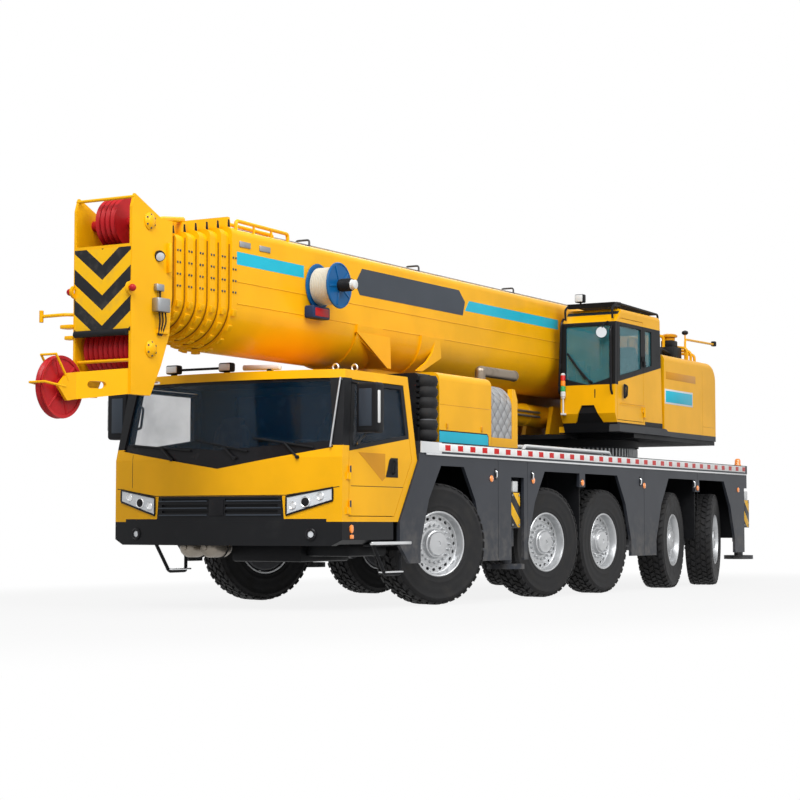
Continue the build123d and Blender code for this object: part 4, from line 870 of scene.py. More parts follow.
def tube(path: Sequence[Point], radius: float, sides: int = 8, close: bool = False) -> Surface:
    """Round section carried along a path.

    The section's frame at each point comes from the tangent and one reference direction, the normal of the
    plane that fits the tangents best, so the section doesn't twist.

    Args:
        path: Points of the centre line.
        radius: Radius of the section.
        sides: Corners of the section.
        close: Joins the path's end to its start.

    Returns:
        The surface, closed at its ends.
    """
    line = np.array(path, float)
    if close:
        tangent = np.roll(line, -1, 0) - np.roll(line, 1, 0)
    else:
        tangent = np.gradient(line, axis=0)
    tangent /= np.linalg.norm(tangent, axis=1, keepdims=True)
    reference = np.linalg.svd(tangent)[2][-1]
    across = np.cross(tangent, reference)
    across /= np.linalg.norm(across, axis=1, keepdims=True)
    upward = np.cross(across, tangent)
    turn = np.linspace(0.0, tau, sides, endpoint=False)
    circle = across[:, None] * np.cos(turn)[None, :, None] + upward[:, None] * np.sin(turn)[None, :, None]
    return grid(line[:, None] + radius * circle, wrap_u=close, wrap_v=True, caps=not close)


def block(low: Point, high: Point, radius: float, steps: int = 2) -> Surface:
    """Box with rounded edges: each point is a corner of the inner box plus the radius times a direction.

    The directions run over the sphere, one eighth for each corner, so the flats come out between them.

    Args:
        low: Lowest corner.
        high: Highest corner.
        radius: Edge radius.
        steps: Steps in a quarter turn.

    Returns:
        The closed surface.
    """
    low, high = np.array(low, float), np.array(high, float)
    radius = min(radius, float((high - low).min()) / 2.001)
    quarter = np.linspace(0.0, pi / 2, steps + 1)
    turn = np.concatenate([quarter + k * pi / 2 for k in range(4)])
    turn_sign = np.repeat(np.array([(1, 1), (-1, 1), (-1, -1), (1, -1)]), steps + 1, axis=0)
    lift = np.concatenate([quarter - pi / 2, quarter])
    lift_sign = np.repeat([-1, 1], steps + 1)
    normal = np.stack([np.cos(lift)[:, None] * np.cos(turn), np.cos(lift)[:, None] * np.sin(turn),
                       np.sin(lift)[:, None] + 0.0 * turn], -1)
    shape = (len(lift), len(turn))
    sign = np.stack([np.broadcast_to(turn_sign[:, 0], shape), np.broadcast_to(turn_sign[:, 1], shape),
                     np.broadcast_to(lift_sign[:, None], shape)], -1)
    points = (low + high) / 2 + sign * ((high - low) / 2 - radius) + radius * normal
    return grid(points, wrap_v=True, caps=True).flipped()


def plate(outline: Sequence[Point], axis: Axis, low: float, high: float) -> Surface:
    """Flat plate: an outline in the plane across one axis, carried along that axis from low to high.

    Args:
        outline: Corners as the two other coordinates, in the frame's order.
        axis: Direction of the thickness.
        low: Lower face.
        high: Upper face.

    Returns:
        The closed surface.
    """
    flat = np.array(outline, float)
    corners = np.insert(flat, axis.value, 0.0, axis=1)
    lift = np.eye(3)[axis.value]
    points = np.stack([corners + lift * low, corners + lift * high])
    made = grid(points, wrap_v=True, caps=True)
    x, y = flat[:, 0], flat[:, 1]
    area = np.sum(x * np.roll(y, -1) - y * np.roll(x, -1))
    clockwise = (area < 0) != (axis is Axis.Y)
    return made if clockwise else made.flipped()


def bent(path: Sequence[Point], radius: float, steps: int = 5) -> np.ndarray:
    """Centre line of a bent bar, with a parabola for each corner between points a radius away from it.

    Args:
        path: Ends and corners of the bar.
        radius: Distance from a corner to the ends of its parabola.
        steps: Points on each parabola.

    Returns:
        Points of the centre line.
    """
    line = np.array(path, float)
    legs = np.diff(line, axis=0)
    legs /= np.linalg.norm(legs, axis=1, keepdims=True)
    corner = line[1:-1, None]
    start = corner - radius * legs[:-1, None]
    end = corner + radius * legs[1:, None]
    share = np.linspace(0.0, 1.0, steps)[None, :, None]
    arcs = (1 - share) ** 2 * start + 2 * share * (1 - share) * corner + share**2 * end
    return np.vstack([line[:1], arcs.reshape(-1, 3), line[-1:]])


def rail(path: Sequence[Point], radius: float, bend: float = 0.05, sides: int = 8) -> Surface:
    """Round bar bent at each corner of a path."""
    return tube(bent(path, bend), radius, sides)


def studs(places: Sequence[Point], outward: Point, radius: float = 0.014, height: float = 0.012) -> Surface:
    """Six-sided bolt heads at some places, all with the same outward direction."""
    head = lathe([(radius, 0.0), (radius, height * 0.8), (radius * 0.8, height)], 6)
    return head.moved(aim(ORIGIN, outward)).copied(places)


def pillow(half: Point, channels: int = 0, depth: float = 0.012, power: float = 0.38) -> Surface:
    """Cushion about the origin.

    x = a c(u) c(v), y = b c(u) s(v), z = c s(u), where each sine and cosine keeps its sign and is raised
    to a power, so the flats crown, the sides pull in and the edges stay full. On the upper side, valleys
    across Y stand for the sewn channels.

    Args:
        half: Half sizes along X, Y and Z.
        channels: Number of valleys across the width.
        depth: Depth of a valley.
        power: Power of the sines, smaller for a fuller cushion.

    Returns:
        The closed surface.
    """
    lift = np.linspace(-pi / 2, pi / 2, 28)[:, None]
    turn = np.linspace(0.0, tau, 56, endpoint=False)
    ring_c, ring_s, up_c, up_s = np.cos(turn), np.sin(turn), np.cos(lift), np.sin(lift)
    x, y, flat, z = (np.sign(v) * np.abs(v) ** power for v in (ring_c, ring_s, up_c, up_s))
    points = np.stack([half[0] * flat * x, half[1] * flat * y, half[2] * z + 0.0 * x], -1)
    if channels:
        valley = np.abs(np.cos(points[..., 1] / half[1] * channels * pi / 2)) ** 10
        points[..., 2] -= depth * valley * (points[..., 2] > 0.0)
    return grid(points, wrap_v=True, caps=True).flipped()


def ribbed(radius: float, low: float, high: float, ribs: int, depth: float, segments: int = 40) -> Surface:
    """Rope layers or a bellows about Z: the radius swings by half a sine for each rib along the height.

    Args:
        radius: Radius in the valleys.
        low: Lower end.
        high: Upper end.
        ribs: Number of ribs.
        depth: Depth of a valley.
        segments: Steps in a full turn.

    Returns:
        The closed surface.
    """
    height = np.linspace(low, high, ribs * 4 + 1)
    swing = np.abs(np.sin((height - low) / (high - low) * ribs * pi))
    return lathe(np.stack([radius + depth * swing, height], -1), segments)


def hoop(centre: Point, axis: Axis, radius: float, bar: float, segments: int = 24,
         sides: int = 8) -> Surface:
    """Round bar bent to a circle across one axis of the frame.

    Args:
        centre: Centre of the circle.
        axis: Axis that the circle runs round.
        radius: Radius of the centre line.
        bar: Radius of the bar.
        segments: Points on the circle.
        sides: Corners of the bar's section.

    Returns:
        The closed surface.
    """
    turn = np.linspace(0.0, tau, segments, endpoint=False)[:, None]
    first, second = np.roll(np.eye(3), -1 - axis.value, 0)[:2]
    return tube(np.array(centre) + radius * (np.cos(turn) * first + np.sin(turn) * second), bar, sides,
                close=True)


def shift(*place: float) -> np.ndarray:
    """Matrix that moves to a place."""
    return np.array(Matrix.Translation(place))


def turned(axis: Axis, degrees: float, at: Point) -> np.ndarray:
    """Matrix that turns about an axis of the frame and then moves to a place."""
    return np.array(Matrix.Translation(Vector(at)) @ Matrix.Rotation(radians(degrees), 4, axis.name))


def linked(name: str, surface: Surface, material: bpy.types.Material) -> bpy.types.Object:
    """Object at the origin with a surface's faces and one material, in the scene.

    Args:
        name: Name of the object.
        surface: Its shape.
        material: Its material.

    Returns:
        The object.
    """
    mesh = bpy.data.meshes.new(name)
    mesh.from_pydata(surface.points, [], [row for group in surface.faces for row in group.tolist()])
    mesh.validate()
    mesh.materials.append(material)
    made = bpy.data.objects.new(name, mesh)
    bpy.context.scene.collection.objects.link(made)
    return made


# Pieces


@dataclass
class Assembly:
    """A group of pieces, most of which ride on one body."""

    body: str = "chassis"

    def add(self, name: str, parts: Surface | Sequence[Surface], finish: str, mirror: bool = False,
            body: str = "", replaces: Sequence[str] = (), smooth: float = 35.0) -> bpy.types.Object:
        """Makes one object of some surfaces and lets it ride on a body.

        Args:
            name: Name of the piece.
            parts: Its shape, as one surface or several, in the frame.
            finish: Name of its finish.
            mirror: Adds the mirror image on the machine's other side.
            body: Body that carries it, where it isn't the group's own.
            replaces: Nodes that the piece stands for.
            smooth: Largest angle in degrees between faces that shade as one.

        Returns:
            The object.
        """
        whole = parts if isinstance(parts, Surface) else Surface.joined(parts)
        made = linked(name, whole.with_mirror() if mirror else whole, STOCK[finish])
        made.data.shade_smooth()
        made.data.set_sharp_from_angle(angle=radians(smooth))
        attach(made, body or self.body)
        if replaces:
            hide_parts(*replaces)
        LOG.info("%s: %d faces on %s", name, len(made.data.polygons), body or self.body)
        return made

    def add_blocks(self, name: str, finish: str, rows: Sequence[Row], mirror: bool = False,
                   **options: Any) -> None:
        """Makes one piece of blocks, each row a lowest corner, a highest corner and an edge radius."""
        self.add(name, [block(*row) for row in rows], finish, mirror, **options)


# Wheels


@dataclass
class Wheel(Assembly):
    """Block-tread tyre on a disc wheel with hand holes, hub nuts and cap, about its own axis as Z."""

    radius: float = 0.685
    width: float = 0.39
    rim_radius: float = 0.365
    lug_height: float = 0.024
    lugs: int = 40
    lug_rows: Rows = ((-0.155, 0.062), (-0.078, 0.064), (0.0, 0.062), (0.078, 0.064), (0.155, 0.062))
    lug_share: float = 0.36
    skew: float = 0.35
    shoulder_drop: float = 0.012
    holes: int = 20
    hole_radius: float = 0.291
    hole_half: tuple[float, float] = (0.016, 0.022)
    hole_depth: float = 0.03
    disc_band: tuple[float, float] = (0.258, 0.322)
    disc_height: float = 0.085
    drum_bore: float = 0.215
    drum_gap: float = 0.036
    nuts: int = 20
    nut_circle: float = 0.21

    def tyre(self) -> Surface:
        """Carcass as a turned profile, from the bead over the shoulder, with its tread blocks.

        Returns:
            The surface.
        """
        half, r, bead = self.width / 2, self.radius, self.rim_radius
        base = r - self.lug_height
        outline = [(bead, 0.88), (bead + 0.016, 0.955), (bead + 0.05, 0.945), (bead + 0.058, 0.965),
                   (bead + 0.075, 0.967), (bead + 0.083, 0.955), (r * 0.72, 0.995), (r * 0.8, 1.0),
                   (r * 0.87, 0.985), (r * 0.878, 0.998), (r * 0.9, 0.99), (r * 0.905, 0.97),
                   (base - 0.012, 0.93), (base, 0.86)]
        outer = [(radius, half * share) for radius, share in outline]
        profile = [*outer, (base + 0.004, 0.0), *((radius, -y) for radius, y in reversed(outer))]
        return Surface.joined([ring(profile, 96), *self.tread()])

    def tread(self) -> list[Surface]:
        """Rows of skewed blocks, each a tapered six-sided form repeated round the tyre.

        Returns:
            The blocks' surfaces.
        """
        pitch = tau / self.lugs
        base, top = self.radius - self.lug_height - 0.004, self.radius
        made = []
        for number, (middle, wide) in enumerate(self.lug_rows):
            odd = number % 2
            skew = self.skew * pitch * (1 if odd else -1)
            shoulder = abs(middle) > self.width / 4
            side = np.array([-1.0, 1.0, 1.0, -1.0])
            across = side * wide / 2
            along = np.array([-1.0, -1.0, 1.0, 1.0]) * self.lug_share * pitch + side * skew / 2
            rings = []
            for radius, taper in ((base, 1.0), (top - 0.003, 0.92), (top, 0.86)):
                sunk = shoulder and radius > base
                reach = radius - (self.shoulder_drop * (np.sign(middle) * across > 0) if sunk else 0.0)
                angle = along * taper
                rings.append(np.stack([reach * np.cos(angle), reach * np.sin(angle),
                                       middle + across * taper], -1))
            lug = grid(np.array(rings), wrap_v=True, caps=True).flipped()
            made.append(lug.spun(self.lugs, odd * pitch / 2))
        return made

    def holed_band(self) -> Surface:
        """Disc band with real holes: each cell blends from the hole's edge to the cell's own border.

        Round the hole, the edge point is the centre plus (a cos t, b sin t); the border point lies on the
        cell's rectangle in the same direction. The hole's wall runs back from the edge.

        Returns:
            The surface.
        """
        inner, outer = self.disc_band
        turn = np.linspace(0.0, tau, 24, endpoint=False) + tau / 48
        direction = np.stack([np.cos(turn), np.sin(turn)], -1)
        middle, half_r = (inner + outer) / 2, (outer - inner) / 2
        reach = 1.0 / np.maximum(np.abs(direction[:, 0]), np.abs(direction[:, 1]))
        border = direction * reach[:, None] * np.array([pi / self.holes, half_r])
        edge = direction * np.array([self.hole_half[1] / self.hole_radius, self.hole_half[0]])
        edge[:, 1] += self.hole_radius - middle
        rows = []
        for share, depth in ((0.0, 0.0), (0.5, 0.0), (0.9, 0.0), (1.0, 0.003), (1.0, self.hole_depth)):
            flat = border + (edge - border) * share
            radius, angle = middle + flat[:, 1], flat[:, 0]
            height = self.disc_height - depth + 0.0 * angle
            rows.append(np.stack([radius * np.sin(angle), radius * np.cos(angle), height], -1))
        return grid(np.array(rows), wrap_v=True).spun(self.holes)

    def rim(self) -> list[Surface]:
        """Lip, well and hub as turned profiles, with the holed band between them and the nuts on it.

        Returns:
            The surfaces.
        """
        half, r, face = self.width / 2, self.rim_radius, self.disc_height
        inner, outer = self.disc_band
        lip = [(outer, face), (outer + 0.008, face + 0.006), (outer + 0.012, face + 0.03),
               (r - 0.022, half * 0.86), (r - 0.016, half * 0.93), (r - 0.004, half * 0.95),
               (r + 0.004, half * 0.92), (r + 0.002, half * 0.8), (r - 0.012, -half * 0.8),
               (r + 0.002, -half * 0.92), (r - 0.016, -half * 0.92), (r - 0.03, -half * 0.6),
               (outer + 0.004, face - 0.025)]
        hub = [(inner, face - 0.02), (inner, face), (inner - 0.01, face + 0.004), (0.168, face + 0.008),
               (0.16, face + 0.02), (0.152, face + 0.05), (0.138, face + 0.058), (0.135, face + 0.072),
               (0.126, face + 0.084), (0.03, face + 0.088), (0.028, face + 0.082), (0.001, face + 0.082)]
        sleeve = [(0.13, -0.02), (0.16, 0.0), (0.16, face - 0.02)]
        nut = lathe([(0.017, 0.0), (0.017, 0.02), (0.014, 0.024), (0.009, 0.024), (0.009, 0.034),
                     (0.006, 0.036)], 6)
        nut = nut.moved(shift(self.nut_circle, 0.0, face + 0.004))
        return [ring(lip, 72), self.holed_band(), lathe(hub, 72), lathe(sleeve, 32), nut.spun(self.nuts)]

    def brake_drum(self) -> Surface:
        """Brake drum inside the rim's inner end, as a turned ring with a stepped edge.

        Returns:
            The surface.
        """
        inner, outer = self.drum_bore, self.rim_radius - self.drum_gap
        return ring([(inner, -0.176), (outer - 0.02, -0.178), (outer - 0.012, -0.172), (outer, -0.17),
                     (outer, -0.06), (outer - 0.03, -0.03), (inner, -0.04)], 48)

    def build(self) -> None:
        """Places the tyre, the rim and the drum of every wheel on its spin joint."""
        forms = (("tyre", self.tyre(), "tyre_rubber"), ("rim", Surface.joined(self.rim()), "rim_silver"),
                 ("drum", self.brake_drum(), "casting_grey"))
        for joint in frame["joints"]:
            if not joint["name"].startswith("spin_"):
                continue
            wheel = joint["child"]
            sign = 1.0 if wheel.endswith(Side.LEFT.word) else -1.0
            centre = np.array(joint["pos_m"])
            place = aim(centre, centre + sign * np.array(joint["axis"]))
            for word, form, finish in forms:
                self.add(f"{wheel}_{word}", form.moved(place), finish, body=wheel, replaces=[wheel])


# Seats


@dataclass
class Seat(Assembly):
    """Sprung seat that faces forwards: crowned cushion, back and head rest, pan, arm rests and bellows."""

    name: str = "seat"
    node: str = ""
    at: Point = ORIGIN
    width: float = 0.48
    tilt_deg: float = -3.0
    lean_deg: float = -8.0
    channels: int = 3

    def build(self) -> None:
        """Makes the padded pieces and the frame that carries them."""
        x, y, floor = self.at
        half = self.width / 2
        upright = turned(Axis.Y, 90.0, ORIGIN)
        back_at = turned(Axis.Y, self.lean_deg, (x - 0.26, y, floor + 0.74))
        rest_at = turned(Axis.Y, 90.0 + self.lean_deg, (x - 0.295, y, floor + 1.04))
        cushion_at = turned(Axis.Y, self.tilt_deg, (x, y, floor + 0.385))
        cushion = pillow((0.24, half, 0.07), self.channels).moved(cushion_at)
        back = pillow((0.31, half * 0.94, 0.055), self.channels).moved(upright).moved(back_at)
        rest = pillow((0.085, 0.14, 0.045)).moved(rest_at)
        for word, pad, fill in (("cushion", cushion, 0.75), ("back", back, 0.7), ("head_rest", rest, 0.8)):
            made = self.add(f"{self.name}_{word}", pad, "seat_cloth", replaces=[self.node], smooth=60.0)
        bellows = ribbed(0.13, floor + 0.03, floor + 0.29, 5, 0.02).moved(shift(x, y, 0.0))
        foot = block((x - 0.2, y - 0.2, floor + 0.003), (x + 0.2, y + 0.2, floor + 0.045), 0.015)
        pan = block((x - 0.23, y - half + 0.02, floor + 0.28), (x + 0.22, y + half - 0.02, floor + 0.33),
                    0.02)
        arms = [rail([(x - 0.24, y + s, floor + 0.42), (x - 0.24, y + s, floor + 0.6),
                      (x + 0.06, y + s, floor + 0.6)], 0.022, 0.05) for s in (half + 0.02, -half - 0.02)]
        self.add(f"{self.name}_frame", [bellows, foot, pan, *arms], "panel_grey", replaces=[self.node])


# Driving cab


@dataclass
class DrivingCab(Assembly):
    """Fittings of the driving cab: wipers, lamps, grille, rails, doors, steps, air tanks and the inside."""

    node: str = "cab_interior"
    levels: tuple[float, float] = (1.6, 2.52)
    middle: tuple[float, float] = (4.82, 4.7)
    corner: tuple[float, float] = (4.67, 4.5)
    half: tuple[float, float] = (1.47, 1.4)
    glass_sink: float = 0.018
    floor: float = 0.99
    blades: Rows = (((-1.26, 1.77), (-0.36, 1.69)), ((-0.3, 1.8), (0.38, 1.67)), ((0.44, 1.81), (1.14, 1.7)))
    wiper_foot: float = 1.6
    lamp_corners: Rows = ((0.85, 1.0), (0.85, 1.19), (1.37, 1.28), (1.37, 1.15))
    bowls: Rows = ((1.07, 1.135, 0.052), (1.235, 1.195, 0.036), (0.925, 1.1, 0.036))
    fog_lamp: Row = (1.13, 0.8)
    marker: Row = (4.49, 1.466, 0.855)
    bar_heights: Row = (1.0, 1.075, 1.15)
    seam_corners: Rows = ((-1.44, 1.292), (-0.84, 1.206), (0.84, 1.206), (1.44, 1.292))
    upright_seam: Row = (-1.2, 1.3, 1.66)
    roof_lamps: Row = (-0.88, -0.17)
    roof_eyes: Rows = ((4.37, 1.2, 2.556), (4.2, 1.33, 2.556), (4.37, -1.2, 2.556), (4.2, -1.33, 2.556))
    recess: Rows = ((3.79, 1.405), (3.53, 1.405), (3.535, 1.615), (3.68, 1.615), (3.715, 1.59))
    scoop: Rows = ((4.34, 1.655), (3.8, 1.655), (3.8, 1.4), (3.86, 1.36))
    handle: Rows = ((3.64, 1.474, 1.44), (3.64, 1.497, 1.455), (3.61, 1.497, 1.575), (3.61, 1.474, 1.59))
    door_blocks: Rows = (
        ("door_seam", "trim_black", (3.42, 1.465, 1.298), (4.5, 1.4712, 1.306), 0.003, 2),
        ("mirror_shell", "trim_black", (4.318, 1.5, 1.85), (4.464, 1.772, 2.375), 0.035, 4),
        ("mirror_glass", "mirror_pane", (4.311, 1.53, 1.885), (4.322, 1.742, 2.34), 0.005, 2),
        ("mirror_strip", "tank_white", (4.41, 1.755, 1.95), (4.45, 1.777, 2.29), 0.008, 2),
        ("mirror_cover", "plate_slate", (4.456, 1.545, 1.92), (4.471, 1.7, 2.31), 0.007, 2))
    dash: Rows = ((4.22, 1.39), (4.55, 1.39), (4.55, 1.52), (4.47, 1.595), (4.36, 1.607), (4.27, 1.585),
                  (4.22, 1.52))
    cowl: Rows = ((4.215, 1.585), (4.4, 1.6), (4.4, 1.64), (4.32, 1.668), (4.24, 1.655))
    wheel_hub: Row = (4.08, 0.7, 1.69)
    wheel_tilt: Row = (-0.51, 0.0, 0.86)
    tank_profile: Rows = ((0.012, 0.0), (0.06, 0.008), (0.09, 0.03), (0.106, 0.07), (0.108, 0.09),
                          (0.108, 0.33), (0.09, 0.38), (0.06, 0.405), (0.03, 0.412), (0.028, 0.43),
                          (0.01, 0.432))
    tanks: Rows = ((4.08, -0.655, 0.652), (4.08, -0.385, 0.652))

    def skin(self, y: Any, z: Any, proud: float = 0.0) -> np.ndarray:
        """Points in front of the cab: an arc across it, whose middle and corner lean back above the belt.

        With rise s and half width h, the arc's radius is (h h + s s) / 2 s.

        Args:
            y: Places across.
            z: Heights.
            proud: Distance in front of the skin.

        Returns:
            Array of points.
        """
        y, z = np.asarray(y, float), np.asarray(z, float)
        share = np.clip((z - self.levels[0]) / (self.levels[1] - self.levels[0]), 0.0, 1.0)
        middle, corner, half = (low + (high - low) * share
                                for low, high in (self.middle, self.corner, self.half))
        rise = middle - corner
        radius = (half**2 + rise**2) / (2 * rise)
        return np.stack([middle - radius + np.sqrt(radius**2 - y**2) + proud, y, z], -1)

    def wipers(self) -> None:
        """Three parked wipers: a blade that follows the glass, its holder, and an arm from the cowl."""
        holders, rubbers = [], []
        for start, end in self.blades:
            line = np.linspace(start, end, 14)
            middle = line[len(line) // 2]
            pivot = np.array([middle[0] + 0.16, self.wiper_foot])
            arm = np.linspace(pivot, middle, 8)
            foot = self.skin(*pivot, -self.glass_sink)
            holders += [tube(self.skin(*line.T, 0.001), 0.011), tube(self.skin(*arm.T, 0.012), 0.012),
                        post(foot, foot + np.array([0.042, 0.0, 0.0]), 0.02, 12, 0.004)]
            rubbers.append(tube(self.skin(*line.T, -0.0125), 0.005, 6))
        self.add("wiper_arms", holders, "trim_black")
        self.add("wiper_rubbers", rubbers, "hose_rubber")

    def lamps(self) -> None:
        """Head lamp surrounds, projectors and reflectors, fog lamp rings and side markers."""
        corners = np.array([*self.lamp_corners, self.lamp_corners[0]])
        share = np.linspace(0.0, 1.0, 9)[:-1]
        loop = (corners[:-1, None] + np.diff(corners, axis=0)[:, None] * share[None, :, None]).reshape(-1, 2)
        surround = [tube(self.skin(*loop.T, 0.006), 0.011, 8, close=True)]
        bright, dark = [], []
        for y, z, radius in self.bowls:
            seat = self.skin(y, z)
            place = aim(seat, seat + np.array([1.0, 0.12, 0.0]))
            rim = [(radius, 0.0), (radius + 0.006, 0.012), (radius, 0.02), (radius - 0.007, 0.016),
                   (radius - 0.01, 0.0)]
            dome = [(radius * cos(a), 0.004 + radius * 0.3 * sin(a)) for a in np.linspace(0.0, 1.5, 7)]
            bright.append(ring(rim, 32).moved(place))
            bowl = dark if (y, z, radius) == self.bowls[0] else bright
            bowl.append(lathe([(radius * 0.95, -0.004), *dome], 32).moved(place))
        fog = self.skin(*self.fog_lamp)
        fog_ring = ring([(0.034, 0.004), (0.062, 0.0), (0.064, 0.012), (0.05, 0.02), (0.033, 0.012)], 32)
        surround.append(fog_ring.moved(aim(fog, fog + np.array([1.0, 0.15, 0.0]))))
        self.add("head_lamp_surrounds", surround, "gloss_black", mirror=True)
        self.add("head_lamp_reflectors", bright, "bright_steel", mirror=True)
        self.add("head_lamp_projectors", dark, "gloss_black", mirror=True)
        x, y, z = self.marker
        oval = lathe([(0.03, 0.0), (0.044, 0.004), (0.042, 0.014), (0.02, 0.02)], 24)
        oval.points[:, 1] *= 0.8
        square = block((4.455, y, 0.752), (4.52, 1.484, 0.795), 0.008)
        self.add("side_markers", [oval.moved(aim(self.marker, (x, 1.6, z))), square], "lens_amber",
                 mirror=True)

    def front(self) -> None:
        """Grille bars and blank badge plate on the black panel, and the seams above it."""
        across = np.linspace(0.125, 0.79, 12)
        bars = [tube(self.skin(across, z + 0.0 * across, 0.004), 0.008, 6) for z in self.bar_heights]
        self.add("grille_bars", bars, "plate_slate", mirror=True)
        self.add_blocks("badge_plate", "gloss_black", [((4.8, -0.092, 0.99), (4.828, 0.092, 1.17), 0.01)])
        corners = np.array(self.seam_corners)
        line = [np.interp(np.linspace(0.0, 3.0, 40), np.arange(4), corners[:, k]) for k in (0, 1)]
        side, low, high = self.upright_seam
        upright = np.linspace(low, high, 8)
        seams = [tube(self.skin(*line, -0.002), 0.005, 6),
                 tube(self.skin(side + 0.0 * upright, upright, -0.002), 0.004, 6)]
        self.add("front_seams", seams, "trim_black")

    def roof(self) -> None:
        """Marker lamps on feet at the roof's front edge, lifting eyes and the light bar's tube."""
        cases, lenses = [], []
        for y in self.roof_lamps:
            cases += [block((4.36, y - 0.085, 2.555), (4.455, y + 0.085, 2.655), 0.02),
                      block((4.38, y - 0.03, 2.512), (4.43, y + 0.03, 2.57), 0.01)]
            lenses.append(block((4.448, y - 0.07, 2.568), (4.466, y + 0.07, 2.642), 0.008))
        cases += [post((4.4, self.roof_lamps[0], 2.6), (4.4, self.roof_lamps[-1], 2.6), 0.014, 12, 0.004),
                  block((4.28, 0.3, 2.512), (4.34, 0.36, 2.575), 0.01)]
        bar = lathe([(0.012, 0.0), (0.03, 0.01), (0.03, 0.48), (0.012, 0.49)], 16)
        self.add("roof_tube", bar.moved(aim((4.31, -0.02, 2.6), (4.31, 1.0, 2.57))), "tank_white")
        self.add("roof_lamp_cases", cases, "trim_black")
        self.add("roof_lamp_lenses", lenses, "lens_clear")
        self.add("roof_eyes", [hoop(eye, Axis.X, 0.034, 0.009) for eye in self.roof_eyes], "bright_steel")

    def pillars(self) -> None:
        """Grab rail up the left front pillar on two feet, and a grip inside the right one."""
        line = self.skin(np.linspace(1.345, 1.375, 12), np.linspace(1.7, 2.43, 12), 0.03)
        feet = [post(self.skin(y, z, -0.03), self.skin(y, z, 0.03), 0.01, 10, 0.002)
                for y, z in ((1.347, 1.72), (1.374, 2.41))]
        self.add("pillar_rails", [tube(line, 0.011, 10), *feet], "steel_grey")
        grip = [self.skin(*row) for row in ((-1.3, 1.95, -0.08), (-1.22, 1.96, -0.1), (-1.22, 2.19, -0.1),
                                            (-1.3, 2.2, -0.08))]
        self.add("pillar_grip", rail(grip, 0.014, 0.03), "trim_black")

    def doors(self) -> None:
        """On each door: handle in its recess, scoop in painted shade, seam, and the mirror's shell and
        glass.
        """
        handle = Surface.joined([plate(self.recess, Axis.Y, 1.466, 1.473), rail(self.handle, 0.013, 0.012)])
        forms = [("door_handle", "trim_black", handle),
                 # the scoop is a flat plate in darker yellow: painted shade of a sculpted hollow
                 ("door_scoop", "shade_yellow", plate(self.scoop, Axis.Y, 1.462, 1.4715))]
        forms += [(word, finish, block(*sizes)) for word, finish, *sizes in self.door_blocks]
        for side in Side:
            for word, finish, form in forms:
                self.add(f"{word}_{side.word}", form.on(side), finish, body=f"cab_door_{side.word}")

    def steps(self) -> None:
        """Bright tread bar below each door and a hung step under it."""
        self.add_blocks("step_treads", "bright_steel",
                        [((3.27, 1.462, 0.685), (4.11, 1.498, 0.722), 0.012),
                         ((3.4, 1.36, 0.385), (3.76, 1.47, 0.405), 0.008)], mirror=True)
        hanger = [(4.0, 1.43, 0.7), (3.74, 1.43, 0.372), (3.42, 1.43, 0.372), (3.42, 1.43, 0.6)]
        tray = block((3.3, 1.36, 0.672), (4.08, 1.468, 0.7), 0.008)
        self.add("step_hangers", [rail(hanger, 0.02, 0.03), tray], "trim_black", mirror=True)

    def inside(self) -> None:
        """Seats, dash with its hood, and steering wheel in place of the plain inside."""
        stand_for = {"replaces": [self.node]}
        for word, y in (("driver", 0.7), ("mate", -0.7)):
            Seat(self.body, f"{word}_seat", self.node, (3.83, y, self.floor)).build()
        legs = [block((4.23, s * 1.1 - 0.1, self.floor + 0.003), (4.5, s * 1.1 + 0.1, 1.4), 0.02)
                for s in (1, -1)]
        self.add("dash", [plate(self.dash, Axis.Y, -1.22, 1.22), plate(self.cowl, Axis.Y, 0.45, 0.95),
                          *legs], "panel_grey", **stand_for)
        screens = [((4.205, y - 0.12, 1.43), (4.225, y + 0.12, 1.55), 0.008) for y in (-0.35, 0.0)]
        self.add_blocks("dash_screens", "gloss_black", screens, **stand_for)
        hub, tilt = np.array(self.wheel_hub), np.array(self.wheel_tilt)
        rim = hoop(ORIGIN, Axis.Z, 0.21, 0.016, 40, 10)
        spokes = block((0.03, -0.022, -0.012), (0.205, 0.022, 0.006), 0.006).spun(3)
        boss = lathe([(0.05, -0.04), (0.065, -0.01), (0.06, 0.012), (0.03, 0.02)], 24)
        wheel = Surface.joined([rim, spokes, boss]).moved(aim(hub, hub + tilt))
        column = post(hub - 0.3 * tilt, hub, 0.035, 16, 0.005)
        self.add("steering_wheel", [wheel, column], "trim_black", **stand_for)

    def under(self) -> None:
        """Air tanks in straps and the frame's front end below the bumper."""
        tanks = [lathe(self.tank_profile, 32).moved(aim((x, y, z), (5.0, y, z))) for x, y, z in self.tanks]
        straps = [hoop((4.22, y, z), Axis.X, 0.112, 0.008, 32, 6) for _, y, z in self.tanks]
        self.add("air_tanks", tanks, "tank_bronze")
        self.add("tank_straps", straps, "trim_black")
        self.add_blocks("front_frame", "trim_black",
                        [((3.2, -0.24, 0.5), (4.2, 0.66, 0.7), 0.03),
                         ((3.3, 0.66, 0.56), (4.1, 1.2, 0.72), 0.03)])

    def build(self) -> None:
        """Makes every fitting."""
        for step in (self.wipers, self.lamps, self.front, self.roof, self.pillars, self.doors, self.steps,
                     self.inside, self.under):
            step()


# Operator cab


